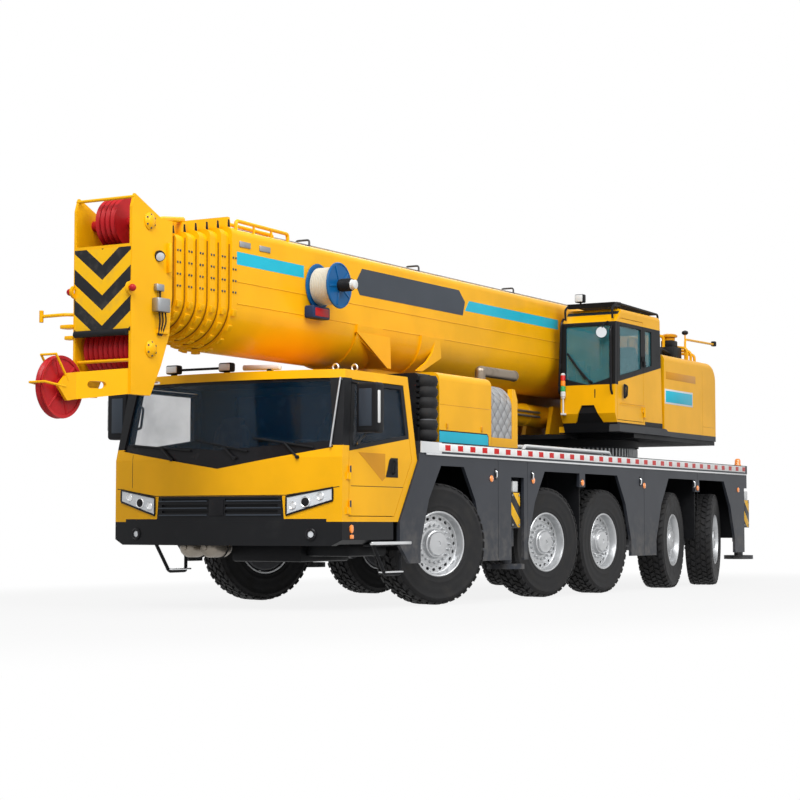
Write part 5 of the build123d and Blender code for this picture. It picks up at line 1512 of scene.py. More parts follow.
@dataclass
class OperatorCab(Assembly):
    """Fittings of the crane cab: seat, consoles, roof guard, lamp, mirror, rails, wiper and signal tower."""

    body: str = "superstructure"
    door: str = "operator_door"
    front: float = -2.39
    floor: float = 2.295
    inner: float = 0.61
    outer: float = 1.42
    guard_top: float = 3.925
    lamp_y: float = 0.86
    consoles: Row = (0.725, 1.295)
    tower_foot: Row = (-2.355, 0.665, 2.42)
    segments: tuple[str, ...] = ("tank_white", "lens_green", "lens_amber", "lens_red")
    segment_height: float = 0.074

    def inside(self) -> None:
        """Seat and two consoles with control levers."""
        Seat(self.body, "operator_seat_new", "operator_seat", (-3.43, 1.015, self.floor), 0.46).build()
        boxes, levers = [], []
        z = self.floor
        for y in self.consoles:
            knob_at = turned(Axis.Y, 8.0, (-3.095, y, z + 0.79))
            boxes.append(block((-3.5, y - 0.045, z + 0.3), (-3.05, y + 0.045, z + 0.62), 0.02))
            levers += [post((-3.12, y, z + 0.61), (-3.1, y, z + 0.76), 0.012, 10, 0.002),
                       pillow((0.028, 0.028, 0.045)).moved(knob_at)]
        stand = post((-2.62, 0.74, z + 0.01), (-2.62, 0.74, 3.05), 0.02, 12, 0.004)
        screen = block((-2.66, 0.68, 3.02), (-2.62, 0.86, 3.16), 0.012)
        self.add("operator_consoles", [*boxes, stand, screen], "panel_grey")
        self.add("operator_levers", levers, "trim_black")

    def guard(self) -> None:
        """Roof guard: a visor plate, side tubes on feet and slats between them that fall to the rear."""
        y0, y1, top = self.inner + 0.06, self.outer - 0.05, self.guard_top
        made = [plate([(-2.52, 3.865), (-2.5, 3.93), (-2.72, 3.945), (-2.72, 3.885)], Axis.Y, y0, y1)]
        for y in (y0, y1):
            path = [(-2.44, y, 3.7), (-2.42, y, 3.84), (-2.56, y, top), (-4.03, y, top - 0.03),
                    (-4.03, y, 3.84)]
            made.append(rail(path, 0.016, 0.05))
        for x in np.linspace(-2.8, -3.98, 9):
            fall = 0.02 * (x + 2.8) / -1.2
            made.append(block((x - 0.03, y0, top - 0.02 - fall), (x + 0.03, y1, top - fall), 0.006))
        self.add("roof_guard", made, "trim_black")

    def front_fittings(self) -> None:
        """Hand rails, wiper, round mirror and work lamp."""
        x, glass = self.front + 0.035, self.front - 0.02
        inner = [(x - 0.05, 0.655, 3.72), (x, 0.645, 3.66), (x, 0.605, 2.72), (x - 0.08, 0.605, 2.66)]
        outer = [(x - 0.06, 1.37, 3.6), (x + 0.005, 1.375, 3.55), (x + 0.005, 1.375, 2.72),
                 (x - 0.06, 1.375, 2.66)]
        stub = post((x - 0.05, 1.12, 2.62), (x - 0.05, 1.12, 2.74), 0.012, 10, 0.003)
        self.add("operator_rails", [*(rail(path, 0.017, 0.05) for path in (inner, outer)), stub],
                 "gloss_black")
        wiper = [tube([(glass + 0.03, 0.72, 3.24), (glass + 0.028, 0.99, 2.88)], 0.016),
                 tube([(glass + 0.04, 0.86, 3.06), (glass + 0.04, 1.06, 2.84)], 0.012),
                 post((glass - 0.02, 1.06, 2.84), (glass + 0.05, 1.06, 2.84), 0.022, 12, 0.004)]
        self.add("operator_wiper", wiper, "trim_black")
        reach = self.front + 0.1
        arm = rail([(self.front - 0.05, 1.3, 3.66), (reach, 1.3, 3.62), (reach, 1.27, 3.52)], 0.01, 0.03)
        shell = lathe([(0.02, -0.03), (0.06, -0.022), (0.078, 0.0), (0.074, 0.008)], 32)
        mirror = lathe([(0.07, 0.0), (0.072, 0.009), (0.03, 0.014), (0.001, 0.014)], 32)
        place = aim((reach, 1.27, 3.5), (self.front + 0.5, 1.45, 3.48))
        self.add("round_mirror_shell", [arm, shell.moved(place)], "trim_black")
        self.add("round_mirror_glass", mirror.moved(place), "mirror_pane")
        y = self.lamp_y
        case = [block((-2.56, y - 0.065, 3.945), (-2.46, y + 0.065, 4.06), 0.015),
                post((-2.52, y, 3.88), (-2.52, y, 3.95), 0.014, 10, 0.003)]
        self.add("work_lamp_cases", case, "trim_black")
        lens = ((-2.466, y - 0.055, 3.955), (-2.45, y + 0.055, 4.05), 0.007)
        self.add_blocks("work_lamp_lenses", "tank_white", [lens])

    def tower(self) -> None:
        """Signal tower: a bracket, a post and stacked lens segments."""
        x, y, z = self.tower_foot
        place = shift(x, y, z)
        holder = [lathe([(0.012, 0.0), (0.012, 0.2), (0.026, 0.205), (0.026, 0.225)], 16).moved(place),
                  block((self.front - 0.03, y - 0.03, z - 0.025), (x + 0.03, y + 0.03, z + 0.005), 0.008),
                  lathe([(0.03, 0.52), (0.034, 0.53), (0.022, 0.55), (0.004, 0.555)], 20).moved(place)]
        self.add("tower_post", holder, "tank_white")
        for number, finish in enumerate(self.segments):
            low = 0.225 + self.segment_height * number
            segment = [(0.028, low), (0.034, low + 0.008), (0.034, low + 0.066),
                       (0.028, low + self.segment_height)]
            self.add(f"tower_segment_{number + 1}", lathe(segment, 20).moved(place), finish)

    def side(self) -> None:
        """Door handle and seam on the door, step slab with its slot, and the apron below the cab."""
        path = [(-2.645, 1.452, 2.63), (-2.645, 1.484, 2.65), (-2.66, 1.484, 2.78), (-2.66, 1.452, 2.8)]
        backing = pillow((0.035, 0.006, 0.1)).moved(shift(-2.65, 1.451, 2.715))
        self.add("operator_door_handle", [rail(path, 0.014, 0.018), backing], "trim_black", body=self.door)
        seam = ((-3.35, 1.446, 2.544), (-2.52, 1.4512, 2.552), 0.003)
        self.add_blocks("operator_door_seam", "shade_yellow", [seam], body=self.door)
        slab = [(-2.46, 2.262), (-4.1, 2.262), (-4.34, 2.163), (-2.46, 2.163)]
        apron = [(-2.44, 2.285), (-4.12, 2.285), (-4.12, 2.163), (-2.5, 2.163)]
        slot = [(-3.42, 2.335), (-4.045, 2.335), (-4.045, 2.285), (-3.42, 2.285)]
        self.add("step_slab", plate(slab, Axis.Y, 1.3, 1.455), "panel_grey")
        self.add("cab_apron", plate(apron, Axis.Y, 0.62, 1.31), "trim_black")
        self.add("step_lamp_slot", plate(slot, Axis.Y, 1.4, 1.424), "trim_black")

    def build(self) -> None:
        """Makes every fitting."""
        for step in (self.inside, self.guard, self.front_fittings, self.tower, self.side):
            step()


# Boom


@dataclass
class BoomDress(Assembly):
    """Marks and fittings of the boom: stripes, blank plate, welds, collar pads, rails, reel and rope."""

    body: str = "boom_base"
    half: float = 0.48
    top: float = 3.98
    crease: float = 3.19
    front: float = 5.26
    reveal: float = 0.15
    inset: float = 0.031
    collar: float = 0.09
    sections: int = 7
    pads: int = 9
    pad_turn_deg: float = 78.0
    bolt_heights: Row = (3.3, 3.42, 3.54, 3.66)
    weld_heights: Row = (3.19, 3.42)
    cover_places: Row = (4.92, 4.55)
    guide_places: Row = (3.4, 0.9, -1.7, -4.3)
    reel_at: Row = (3.6, 3.53)
    stripes: Rows = (((5.165, 3.6), (5.165, 3.735), (3.88, 3.735), (3.88, 3.6)),
                     ((3.33, 3.735), (3.12, 3.735), (3.17, 3.6), (3.33, 3.6)),
                     ((0.03, 3.735), (-2.59, 3.735), (-2.59, 3.6), (0.14, 3.6)))
    badge: Rows = ((2.8, 3.66), (2.65, 3.845), (0.3, 3.845), (0.14, 3.71), (0.2, 3.535), (2.7, 3.535))
    gussets: Rows = (((2.8, 3.1), (2.05, 3.1), (2.03, 2.73), (2.11, 2.73)),
                     ((0.84, 3.17), (0.8, 2.95), (1.28, 2.75), (1.42, 2.75), (1.16, 2.88), (1.02, 3.0),
                      (0.95, 3.17)))
    web: Rows = ((2.78, 3.06), (2.1, 2.735), (2.1, 2.755), (2.78, 3.085))
    rope: Rows = ((-4.9, 0.15, 4.06), (-1.7, 0.15, 4.058), (3.4, 0.15, 4.058), (5.175, 0.15, 4.05))

    def marks(self) -> None:
        """Cyan stripes and the blank slate plate on both sides, 1 to 2 mm proud."""
        low, high = self.half - 0.002, self.half + 0.0012
        self.add("boom_stripes", [plate(stripe, Axis.Y, low, high) for stripe in self.stripes],
                 "stripe_cyan", mirror=True)
        self.add("boom_plate", plate(self.badge, Axis.Y, low, high + 0.001), "plate_slate", mirror=True)

    def welds(self) -> None:
        """Weld beads along the sides, and cover plates near the front."""
        y = self.half
        beads = [tube([(-4.9, y, z), (5.15, y, z)], 0.006, 6) for z in self.weld_heights]
        self.add("boom_welds", beads, "deep_yellow", mirror=True)
        covers = [((x, y - 0.004, 3.79), (x + 0.2, y + 0.012, 3.85), 0.005) for x in self.cover_places]
        self.add_blocks("boom_covers", "steel_grey", covers, mirror=True)

    def belly(self, radius: float) -> np.ndarray:
        """Half circle of the belly as (y, z), from the left side down and up to the right."""
        angle = np.linspace(0.5 * pi, -0.5 * pi, 25)
        return np.stack([radius * np.sin(angle), self.crease - radius * np.cos(angle)], -1)

    def bracket(self) -> None:
        """Side gussets of the lift bracket with their slanted web, and the cover in the boom's rear end.

        The cover's outline is the half circle of the belly with straight sides up to the top plate.
        """
        sides = Surface.joined([plate(outline, Axis.Y, 0.476, 0.504)
                                for outline in self.gussets]).with_mirror()
        self.add("bracket_gussets", [sides, plate(self.web, Axis.Y, -self.half, self.half)], "coach_yellow")
        radius = self.half - 0.03
        outline = [*self.belly(radius)[::-1], (radius, 3.93), (-radius, 3.93)]
        head = lathe([(0.17, 0.0), (0.17, 0.05), (0.15, 0.06), (0.08, 0.065), (0.075, 0.1), (0.02, 0.105)],
                     32)
        knob = lathe([(0.014, 0.0), (0.014, 0.012), (0.01, 0.016)], 6).moved(shift(0.13, 0.0, 0.06))
        place = aim((-4.795, 0.0, 3.4), (-5.5, 0.0, 3.4))
        self.add("boom_rear_cover", [plate(outline, Axis.X, -4.8, -4.78), head.moved(place),
                                     knob.spun(10).moved(place)], "deep_yellow")

    def collars(self) -> None:
        """On each section's collar: wear pads on the belly, painted shade in the gap, bolts on its sides."""
        pad = block((-0.036, -0.036, -0.008), (0.036, 0.036, 0.024), 0.006)
        angles = np.radians(np.linspace(-self.pad_turn_deg, self.pad_turn_deg, self.pads))
        matrices = np.tile(np.eye(4), (self.pads, 1, 1))
        matrices[:, 1, 1] = matrices[:, 2, 2] = -np.cos(angles)
        matrices[:, 1, 2] = np.sin(angles)
        matrices[:, 2, 1] = -np.sin(angles)
        for number in range(self.sections):
            radius = self.half + 0.008 - self.inset * number
            x = self.front + self.reveal * number - self.collar / 2
            matrices[:, 0, 3] = x
            matrices[:, 1, 3] = radius * np.sin(angles)
            matrices[:, 2, 3] = self.crease - radius * np.cos(angles)
            body = f"boom_section_{number + 1}" if number else self.body
            rows = [(x + dx, radius - 0.001, z) for dx in (-0.022, 0.022) for z in self.bolt_heights]
            self.add(f"collar_pads_{number + 1}", pad.repeated(matrices), "deep_yellow", body=body)
            if number < self.sections - 1:
                self.gap(number, body)
            self.add(f"collar_bolts_{number + 1}", studs(rows, LEFTWARD, 0.012, 0.01), "casting_grey",
                     mirror=True, body=body)

    def gap(self, number: int, body: str) -> None:
        """Dark ring of painted shade where the next section comes out, and the slots in the crown's ends.

        The painted shade ring runs down one side, round the belly's half circle and up the other side.

        Args:
            number: Section's number from nought.
            body: Body of that section.
        """
        front = self.front + self.reveal * number
        radius = self.half - self.inset * (number + 1) + 0.008
        path = np.insert(np.vstack([(radius, 3.8), self.belly(radius), (-radius, 3.8)]), 0, front + 0.004,
                         axis=1)
        # painted shade: the dark ring stands for the shade in the gap between sections, not a part
        self.add(f"collar_seal_{number + 1}", tube(path, 0.006, 6), "gap_brown", body=body)
        y = self.half - self.inset * number - 0.07
        top, rear = self.top - self.inset * number, front - self.collar
        slot = [(rear + 0.016, top + 0.012), (rear + 0.03, top + 0.09), (front - 0.034, top + 0.09),
                (front - 0.03, top + 0.012)]
        self.add(f"crown_slots_{number + 1}", plate(slot, Axis.Y, y - 0.004, y + 0.0015), "trim_black",
                 mirror=True, body=body)

    def rails(self) -> None:
        """Hand rail on the top near the front, and rope guides and rope along the top."""
        y, foot = self.half - 0.07, self.top - 0.01
        paths = [[(5.08, side, foot), (5.08, side, 4.075), (4.1, side, 4.06), (4.1, side, foot)]
                 for side in (y, y - 0.2)]
        fence = [rail(path, 0.021, 0.04) for path in paths]
        posts = [post((x, y, foot), (x, y, 4.07), 0.014, 10, 0.002) for x in (4.75, 4.42)]
        self.add("boom_rail", [*fence, *posts], "coach_yellow")
        guides = []
        for x in self.guide_places:
            guides += [rail([(x, 0.06, foot), (x, 0.06, 4.1), (x, 0.24, 4.1), (x, 0.24, foot)], 0.012, 0.03),
                       post((x, 0.05, 4.025), (x, 0.25, 4.025), 0.022, 16, 0.004)]
        self.add("rope_guides", guides, "casting_grey")
        self.add("hoist_rope_top", tube(self.rope, 0.011, 8), "rope_wire")

    def reel(self) -> None:
        """Cable winding between the flanges, flange ribs, hub cap, motor and the box under the reel."""
        x, z = self.reel_at
        place = aim((x, 0.0, z), (x, 1.0, z))
        lips = [ring([(0.252, 0.75), (0.257, 0.76), (0.252, 0.772), (0.235, 0.776), (0.232, 0.771)], 48),
                ring([(0.252, 0.486), (0.257, 0.493), (0.252, 0.5), (0.235, 0.504), (0.232, 0.499)], 48),
                block((0.075, -0.012, 0.768), (0.225, 0.012, 0.778), 0.004).spun(5, 0.4)]
        cap = lathe([(0.064, 0.925), (0.05, 0.935), (0.05, 0.975), (0.03, 0.982)], 24)
        for word, form, finish in (("cable", ribbed(0.2, 0.503, 0.747, 11, 0.008), "cable_cream"),
                                   ("lips", Surface.joined(lips), "reel_blue"), ("cap", cap, "tank_white"),
                                   ("motor", ribbed(0.066, 0.79, 0.92, 8, 0.006, 32), "trim_black")):
            self.add(f"reel_{word}", form.moved(place), finish)
        y = self.half
        case = ((x - 0.08, y - 0.004, 3.16), (x + 0.27, y + 0.12, 3.3), 0.02)
        face = ((x - 0.04, y + 0.11, 3.185), (x + 0.23, y + 0.126, 3.275), 0.006)
        self.add_blocks("reel_box", "box_blue", [case])
        self.add_blocks("reel_box_face", "sheave_red", [face])

    def build(self) -> None:
        """Makes every mark and fitting."""
        for step in (self.marks, self.welds, self.bracket, self.collars, self.rails, self.reel):
            step()


@dataclass
class BoomHead(Assembly):
    """Boom head fittings: chevron plate, boxes, lamp, arms, pulley caps, nose guard and rope keepers."""

    body: str = "boom_section_7"
    face: float = 6.76
    half: float = 0.36
    pulleys: Rows = ((6.45, 2.62), (6.48, 3.88))
    keepers: Rows = ((6.62, 2.33), (6.24, 2.3))
    tip: Row = (7.385, 2.2)
    ball: float = 0.036

    def front(self) -> None:
        """Chevron plate, boxes and lamp on the left cheek, red balls beside the plate, a roller below."""
        inner, y = self.half - 0.012, self.half - 0.004
        outline = [(-inner, 2.775), (inner, 2.775), (inner, 3.6), (-inner, 3.6)]
        self.add("head_chevrons", plate(outline, Axis.X, self.face - 0.002, self.face + 0.0025),
                 "warning_chevron")
        self.add_blocks("head_box", "steel_grey", [((6.24, y, 2.99), (6.44, y + 0.09, 3.13), 0.015),
                                                   ((6.29, y, 3.2), (6.41, y + 0.05, 3.27), 0.01)])
        cable = post((6.34, y + 0.03, 3.12), (6.34, y + 0.03, 3.21), 0.01, 10, 0.002)
        place = aim((6.33, y, 3.57), (6.6, y + 0.4, 3.3))
        case = lathe([(0.03, 0.0), (0.052, 0.02), (0.055, 0.055), (0.045, 0.06)], 24)
        lens = lathe([(0.044, 0.055), (0.044, 0.064), (0.02, 0.07)], 24)
        self.add("head_lamp_case", [cable, case.moved(place)], "trim_black")
        self.add("head_lamp_lens", lens.moved(place), "lens_clear")
        ball = lathe([(self.ball * cos(a), self.ball * sin(a)) for a in np.linspace(-1.5, 1.5, 13)], 24)
        places = [(self.face + 0.02, side.value * (self.half + 0.028), 3.19) for side in Side]
        self.add("head_balls", ball.copied(places), "sheave_red")
        roller = lathe([(0.012, -0.33), (0.034, -0.325), (0.034, 0.325), (0.012, 0.33)], 24)
        self.add("head_roller", roller.moved(aim((6.775, 0.0, 2.765), (6.775, 1.0, 2.765))), "trim_black")

    def pins(self) -> None:
        """Caps on the ends of both pulley pins, each with a ring of bolts."""
        cap = lathe([(0.085, 0.0), (0.088, 0.012), (0.07, 0.02), (0.05, 0.036), (0.02, 0.04)], 28)
        bolt = lathe([(0.011, 0.0), (0.011, 0.01), (0.008, 0.013)], 6)
        bolts = bolt.moved(shift(0.066, 0.0, 0.016)).spun(6)
        places = [aim((x, side.value * (self.half - 0.004), z), (x, side.value * 2.0, z))
                  for x, z in self.pulleys for side in Side]
        self.add("pulley_caps", [cap.moved(place) for place in places], "coach_yellow")
        self.add("pulley_bolts", [bolts.moved(place) for place in places], "casting_grey")

    def arms(self) -> None:
        """Arms over the top, a bar and brackets on the right, and cables below the left boxes."""
        y = self.half - 0.004
        arms = [rail([(6.42, s, 3.86), (6.24, s, 3.94), (5.78, s * 0.8, 4.0)], 0.03, 0.08)
                for s in (0.3, -0.3)]
        self.add("head_arms", arms, "coach_yellow")
        bar = rail([(6.7, -0.35, 2.97), (6.79, -0.42, 2.97), (6.84, -0.7, 2.96)], 0.018, 0.04)
        self.add("head_bar", [bar, post((6.84, -0.7, 2.9), (6.84, -0.7, 3.02), 0.022, 12, 0.004)],
                 "coach_yellow")
        self.add_blocks("head_brackets", "coach_yellow", [
            ((6.68, -0.5, 2.83), (6.8, -0.35, 2.87), 0.01), ((6.7, -0.46, 2.72), (6.78, -0.35, 2.76), 0.01),
            ((6.2, y, 2.78), (6.36, self.half + 0.03, 2.82), 0.008),
            ((6.16, y, 3.4), (6.2, self.half + 0.04, 3.7), 0.008)])
        cables = [rail([(6.28 + step, y + 0.05, 3.0), (6.26 + step, y + 0.05, 2.9),
                        (6.3 + 0.5 * step, y + 0.02, 2.76)], 0.008, 0.04) for step in (0.0, 0.05, 0.1)]
        self.add("head_cables", cables, "hose_rubber")

    def nose(self) -> None:
        """Nose pulley's rim, web ribs and hub in relief, guard bars in front of it, and rope keepers."""
        x, z = self.tip
        reach = float(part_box("boom_sheaves")[1][0]) - x
        rim = [(reach - 0.032, -0.036), (reach - 0.004, -0.042), (reach, -0.03), (reach - 0.02, 0.0),
               (reach, 0.03), (reach - 0.004, 0.042), (reach - 0.032, 0.036), (reach - 0.04, 0.0)]
        hub = [(0.05, -0.045), (0.09, -0.04), (0.095, 0.0), (0.09, 0.04), (0.05, 0.045)]
        ribs = block((0.085, -0.014, -0.034), (reach - 0.03, 0.014, 0.034), 0.008).spun(6, 0.3)
        pulley = Surface.joined([ring(rim, 64), ring(hub, 40), ribs])
        self.add("nose_rim", pulley.moved(aim((x, 0.0, z), (x, 1.0, z))), "sheave_red")
        ends = ((0.16, 0.3), (0.315, 0.03))
        bars = [post((x + dx, -0.1, z + dz), (x + dx, 0.1, z + dz), 0.012, 12, 0.003) for dx, dz in ends]
        for side in Side:
            y = 0.09 * side.value
            starts = ((x - 0.02, y, z + 0.06), (x + 0.02, y, z))
            bars += [tube([start, (x + dx, y, z + dz)], 0.012) for start, (dx, dz) in zip(starts, ends)]
        self.add("nose_guard", bars, "coach_yellow")
        rods = [post((x, -0.31, z), (x, 0.31, z), 0.014, 12, 0.003) for x, z in self.keepers]
        self.add("rope_keepers", rods, "bright_steel")

    def build(self) -> None:
        """Makes every fitting."""
        for step in (self.front, self.pins, self.arms, self.nose):
            step()


# Engine hood


@dataclass
class HoodDress(Assembly):
    """Engine hood fittings: side bands, seams, silencer frame, latches, bellows duct and exhaust lip."""

    outer: float = 1.4
    band: Rows = ((2.478, 1.835), (2.478, 1.958), (1.318, 1.958), (1.286, 1.928), (1.286, 1.835))
    edge: Rows = ((2.48, 1.826), (2.48, 1.972), (1.31, 1.972), (1.272, 1.935), (1.272, 1.826))
    silencer: Rows = ((0.43, 1.822), (0.43, 2.42), (0.5, 2.55), (0.575, 2.55), (0.575, 1.94), (1.19, 1.94),
                      (1.19, 1.822))
    duct_at: Row = (2.64, 1.32, 0.0)
    clamp_heights: Row = (1.9, 2.07, 2.24, 2.4, 2.52)

    def build(self) -> None:
        """Makes every fitting."""
        y = self.outer
        self.add("hood_band", plate(self.band, Axis.Y, y - 0.002, y + 0.0026), "stripe_cyan", mirror=True)
        self.add("hood_band_edge", plate(self.edge, Axis.Y, y - 0.002, y + 0.0012), "trim_black",
                 mirror=True)
        seams = [((1.24, y - 0.003, 2.258), (2.47, y + 0.0012, 2.266), 0.002),
                 ((1.2, y - 0.003, 1.83), (1.206, y + 0.0012, 2.52), 0.002)]
        self.add_blocks("hood_seams", "shade_yellow", seams, mirror=True)
        self.add("silencer_frame", plate(self.silencer, Axis.Y, 1.3, 1.362), "coach_yellow")
        clips = [((x - 0.02, y - 0.003, 1.99), (x + 0.02, y + 0.012, 2.05), 0.006) for x in (2.3, 1.45)]
        self.add_blocks("hood_latches", "shade_yellow", clips, mirror=True)
        place = shift(*self.duct_at)
        clamps = [ring([(0.117, z - 0.012), (0.121, z), (0.117, z + 0.012), (0.112, z)], 36).moved(place)
                  for z in self.clamp_heights]
        self.add("intake_bellows", ribbed(0.112, 1.84, 2.57, 6, 0.024, 36).moved(place), "hose_rubber")
        self.add("intake_clamps", clamps, "casting_grey")
        lip = ring([(0.058, -0.004), (0.069, -0.004), (0.072, 0.004), (0.069, 0.012), (0.058, 0.012)], 32)
        self.add("exhaust_lip", lip.moved(aim((-0.15, 1.02, 2.77), (1.0, 1.02, 2.77))), "exhaust_steel")


# Chassis


@dataclass
class ChassisDress(Assembly):
    """Chassis fittings: tape, markers, seams, latches, pipes, ring teeth, wheel liners and the rear end."""

    deck: float = 1.5
    skirt: float = 1.49
    rear_face: float = -7.51
    ring_at: Row = (-3.97, 0.0, 0.0)
    teeth: int = 96
    ring_bolts: int = 48
    marker_places: Row = (1.38, 0.27, -1.17, -3.2, -5.2, -6.9)
    seam_places: Row = (1.2, 0.42, -3.2, -5.2)
    latch_places: Row = (1.27, 0.3, -3.06, -5.05)
    pipes: Rows = ((1.2, 0.4), (1.32, 0.2))
    liners_at: Rows = ((3.17, 0.62), (1.42, 0.7), (-1.17, 0.7), (-3.2, 0.7), (-5.19, 0.7), (-6.87, 0.7))
    liner: Rows = ((0.58, 0.62), (1.4, 0.62), (1.445, 0.7), (1.445, 1.688), (0.58, 1.688))

    def sides(self) -> None:
        """Tape on the deck's edge, the rail under it, and the skirts' markers, seams, latches and grips."""
        y, s = self.deck, self.skirt
        self.add_blocks("deck_tape", "tape_red_white",
                        [((-7.2, y - 0.002, 1.718), (2.66, y + 0.003, 1.81), 0.0015)], mirror=True)
        self.add_blocks("deck_rail", "bright_steel",
                        [((-7.25, y - 0.012, 1.672), (2.95, y + 0.004, 1.694), 0.004)], mirror=True)
        dome = lathe([(0.03, -0.003), (0.04, 0.003), (0.036, 0.012), (0.014, 0.018)], 20)
        marker = dome.moved(aim(ORIGIN, LEFTWARD))
        spots = [(x, s, 1.44) for x in self.marker_places]
        self.add("skirt_markers", marker.copied(spots), "lens_amber", mirror=True)
        seams = [((x - 0.004, s - 0.003, 0.5), (x + 0.004, s + 0.0012, 1.66), 0.002)
                 for x in self.seam_places]
        self.add_blocks("skirt_seams", "trim_black", seams, mirror=True)
        latches = [((x - 0.026, s - 0.004, 1.43), (x + 0.026, s + 0.004, 1.56), 0.003)
                   for x in self.latch_places]
        self.add_blocks("skirt_latches", "trim_black", latches, mirror=True)
        grips = [rail([(x, s + 0.002, 1.455), (x, s + 0.02, 1.465), (x, s + 0.02, 1.525),
                       (x, s + 0.002, 1.535)], 0.009, 0.008) for x in self.latch_places]
        self.add("skirt_grips", grips, "bright_steel", mirror=True)

    def top(self) -> None:
        """White pipes on the deck, the slewing ring's teeth and bolts, and deck grip strips."""
        pipes = [rail([(x, y, 1.822), (x - 0.04, y, 1.87), (-2.4, y, 1.87), (-2.44, y, 1.822)], 0.024, 0.03)
                 for y, x in self.pipes]
        self.add("deck_pipes", pipes, "tank_white", mirror=True)
        place = shift(*self.ring_at)
        tooth = block((0.945, -0.017, 1.865), (0.985, 0.017, 1.985), 0.006, 1)
        bolt = lathe([(0.018, 1.818), (0.018, 1.842), (0.014, 1.846)], 6).moved(shift(1.04, 0.0, 0.0))
        self.add("ring_teeth", tooth.spun(self.teeth).moved(place), "steel_grey")
        self.add("ring_bolts", bolt.spun(self.ring_bolts).moved(place), "casting_grey")
        tread = block((-0.03, -0.004, 0.0), (0.03, 0.004, 0.004), 0.002, 1)
        x, y = (axis.ravel() for axis in np.meshgrid(np.arange(-7.15, 0.2, 0.16),
                                                     np.arange(1.38, 1.48, 0.04)))
        spots = np.stack([x, y, 1.819 + 0.0 * x], -1)
        self.add("deck_treads", tread.copied(spots), "casting_grey", mirror=True)

    def liners(self) -> None:
        """Dark mudguard panels between the wheels, each with a folded foot and a stiffening rib."""
        made = []
        for x, low in self.liners_at:
            flat = [(y, max(z, low)) for y, z in self.liner]
            made += [plate(flat, Axis.X, x - 0.008, x + 0.008),
                     block((x - 0.014, 0.95, low + 0.04), (x + 0.014, 1.0, 1.68), 0.006)]
        self.add("wheel_liners", made, "trim_black", mirror=True)

    def rear(self) -> None:
        """Warning boards, blank number plate and beacons."""
        x = self.rear_face
        self.add_blocks("rear_boards", "warning_rear",
                        [((x - 0.012, 0.5, 1.02), (x + 0.004, 0.83, 1.4), 0.005)], mirror=True)
        self.add_blocks("rear_plate", "tank_white",
                        [((x - 0.01, -0.27, 0.92), (x + 0.004, 0.27, 1.05), 0.004)])
        beacon = [(0.055, 0.0), (0.055, 0.02), (0.048, 0.03), (0.046, 0.09), (0.03, 0.115), (0.004, 0.12)]
        self.add("rear_beacons", lathe(beacon, 24).moved(shift(-7.2, 1.38, 1.818)), "lens_amber",
                 mirror=True)

    def build(self) -> None:
        """Makes every fitting."""
        for step in (self.sides, self.top, self.liners, self.rear):
            step()


@dataclass
class Outriggers(Assembly):
    """Outrigger fittings: warning plates, white blocks and bolts on the beams, and ribs on the foot pads."""

    face: float = 1.458
    jack_y: float = 1.325

    def build(self) -> None:
        """Dresses each beam and jack."""
        y0, y1 = self.face - 0.002, self.face + 0.003
        ribs = block((0.07, -0.012, 0.02), (0.19, 0.012, 0.06), 0.006).spun(8, 0.39)
        for end, side in ((end, side) for end in ("front", "rear") for side in Side):
            name = f"{end}_{side.word}"
            beam, jack = f"outrigger_beam_{name}", f"outrigger_jack_{name}"
            low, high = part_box(beam)
            x0, x1 = low[0] + 0.012, high[0] - 0.012
            bolts = [(x, y1 - 0.001, z) for x in (x0 + 0.03, x1 - 0.03) for z in (0.9, 1.255)]
            forms = (("board", block((x0, y0, 0.87), (x1, y1, 1.285), 0.002), "warning_side"),
                     ("block", block((x0 + 0.05, y0 - 0.03, 1.295), (x1 - 0.05, y1, 1.425), 0.01),
                      "tank_white"),
                     ("bolts", studs(bolts, LEFTWARD), "steel_grey"))
            for word, form, finish in forms:
                self.add(f"beam_{word}_{name}", form.on(side), finish, body=beam)
            place = shift((low[0] + high[0]) / 2, side.value * self.jack_y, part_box(jack)[0][2])
            self.add(f"pad_ribs_{name}", ribs.moved(place), "steel_grey", body=jack)


# Tail


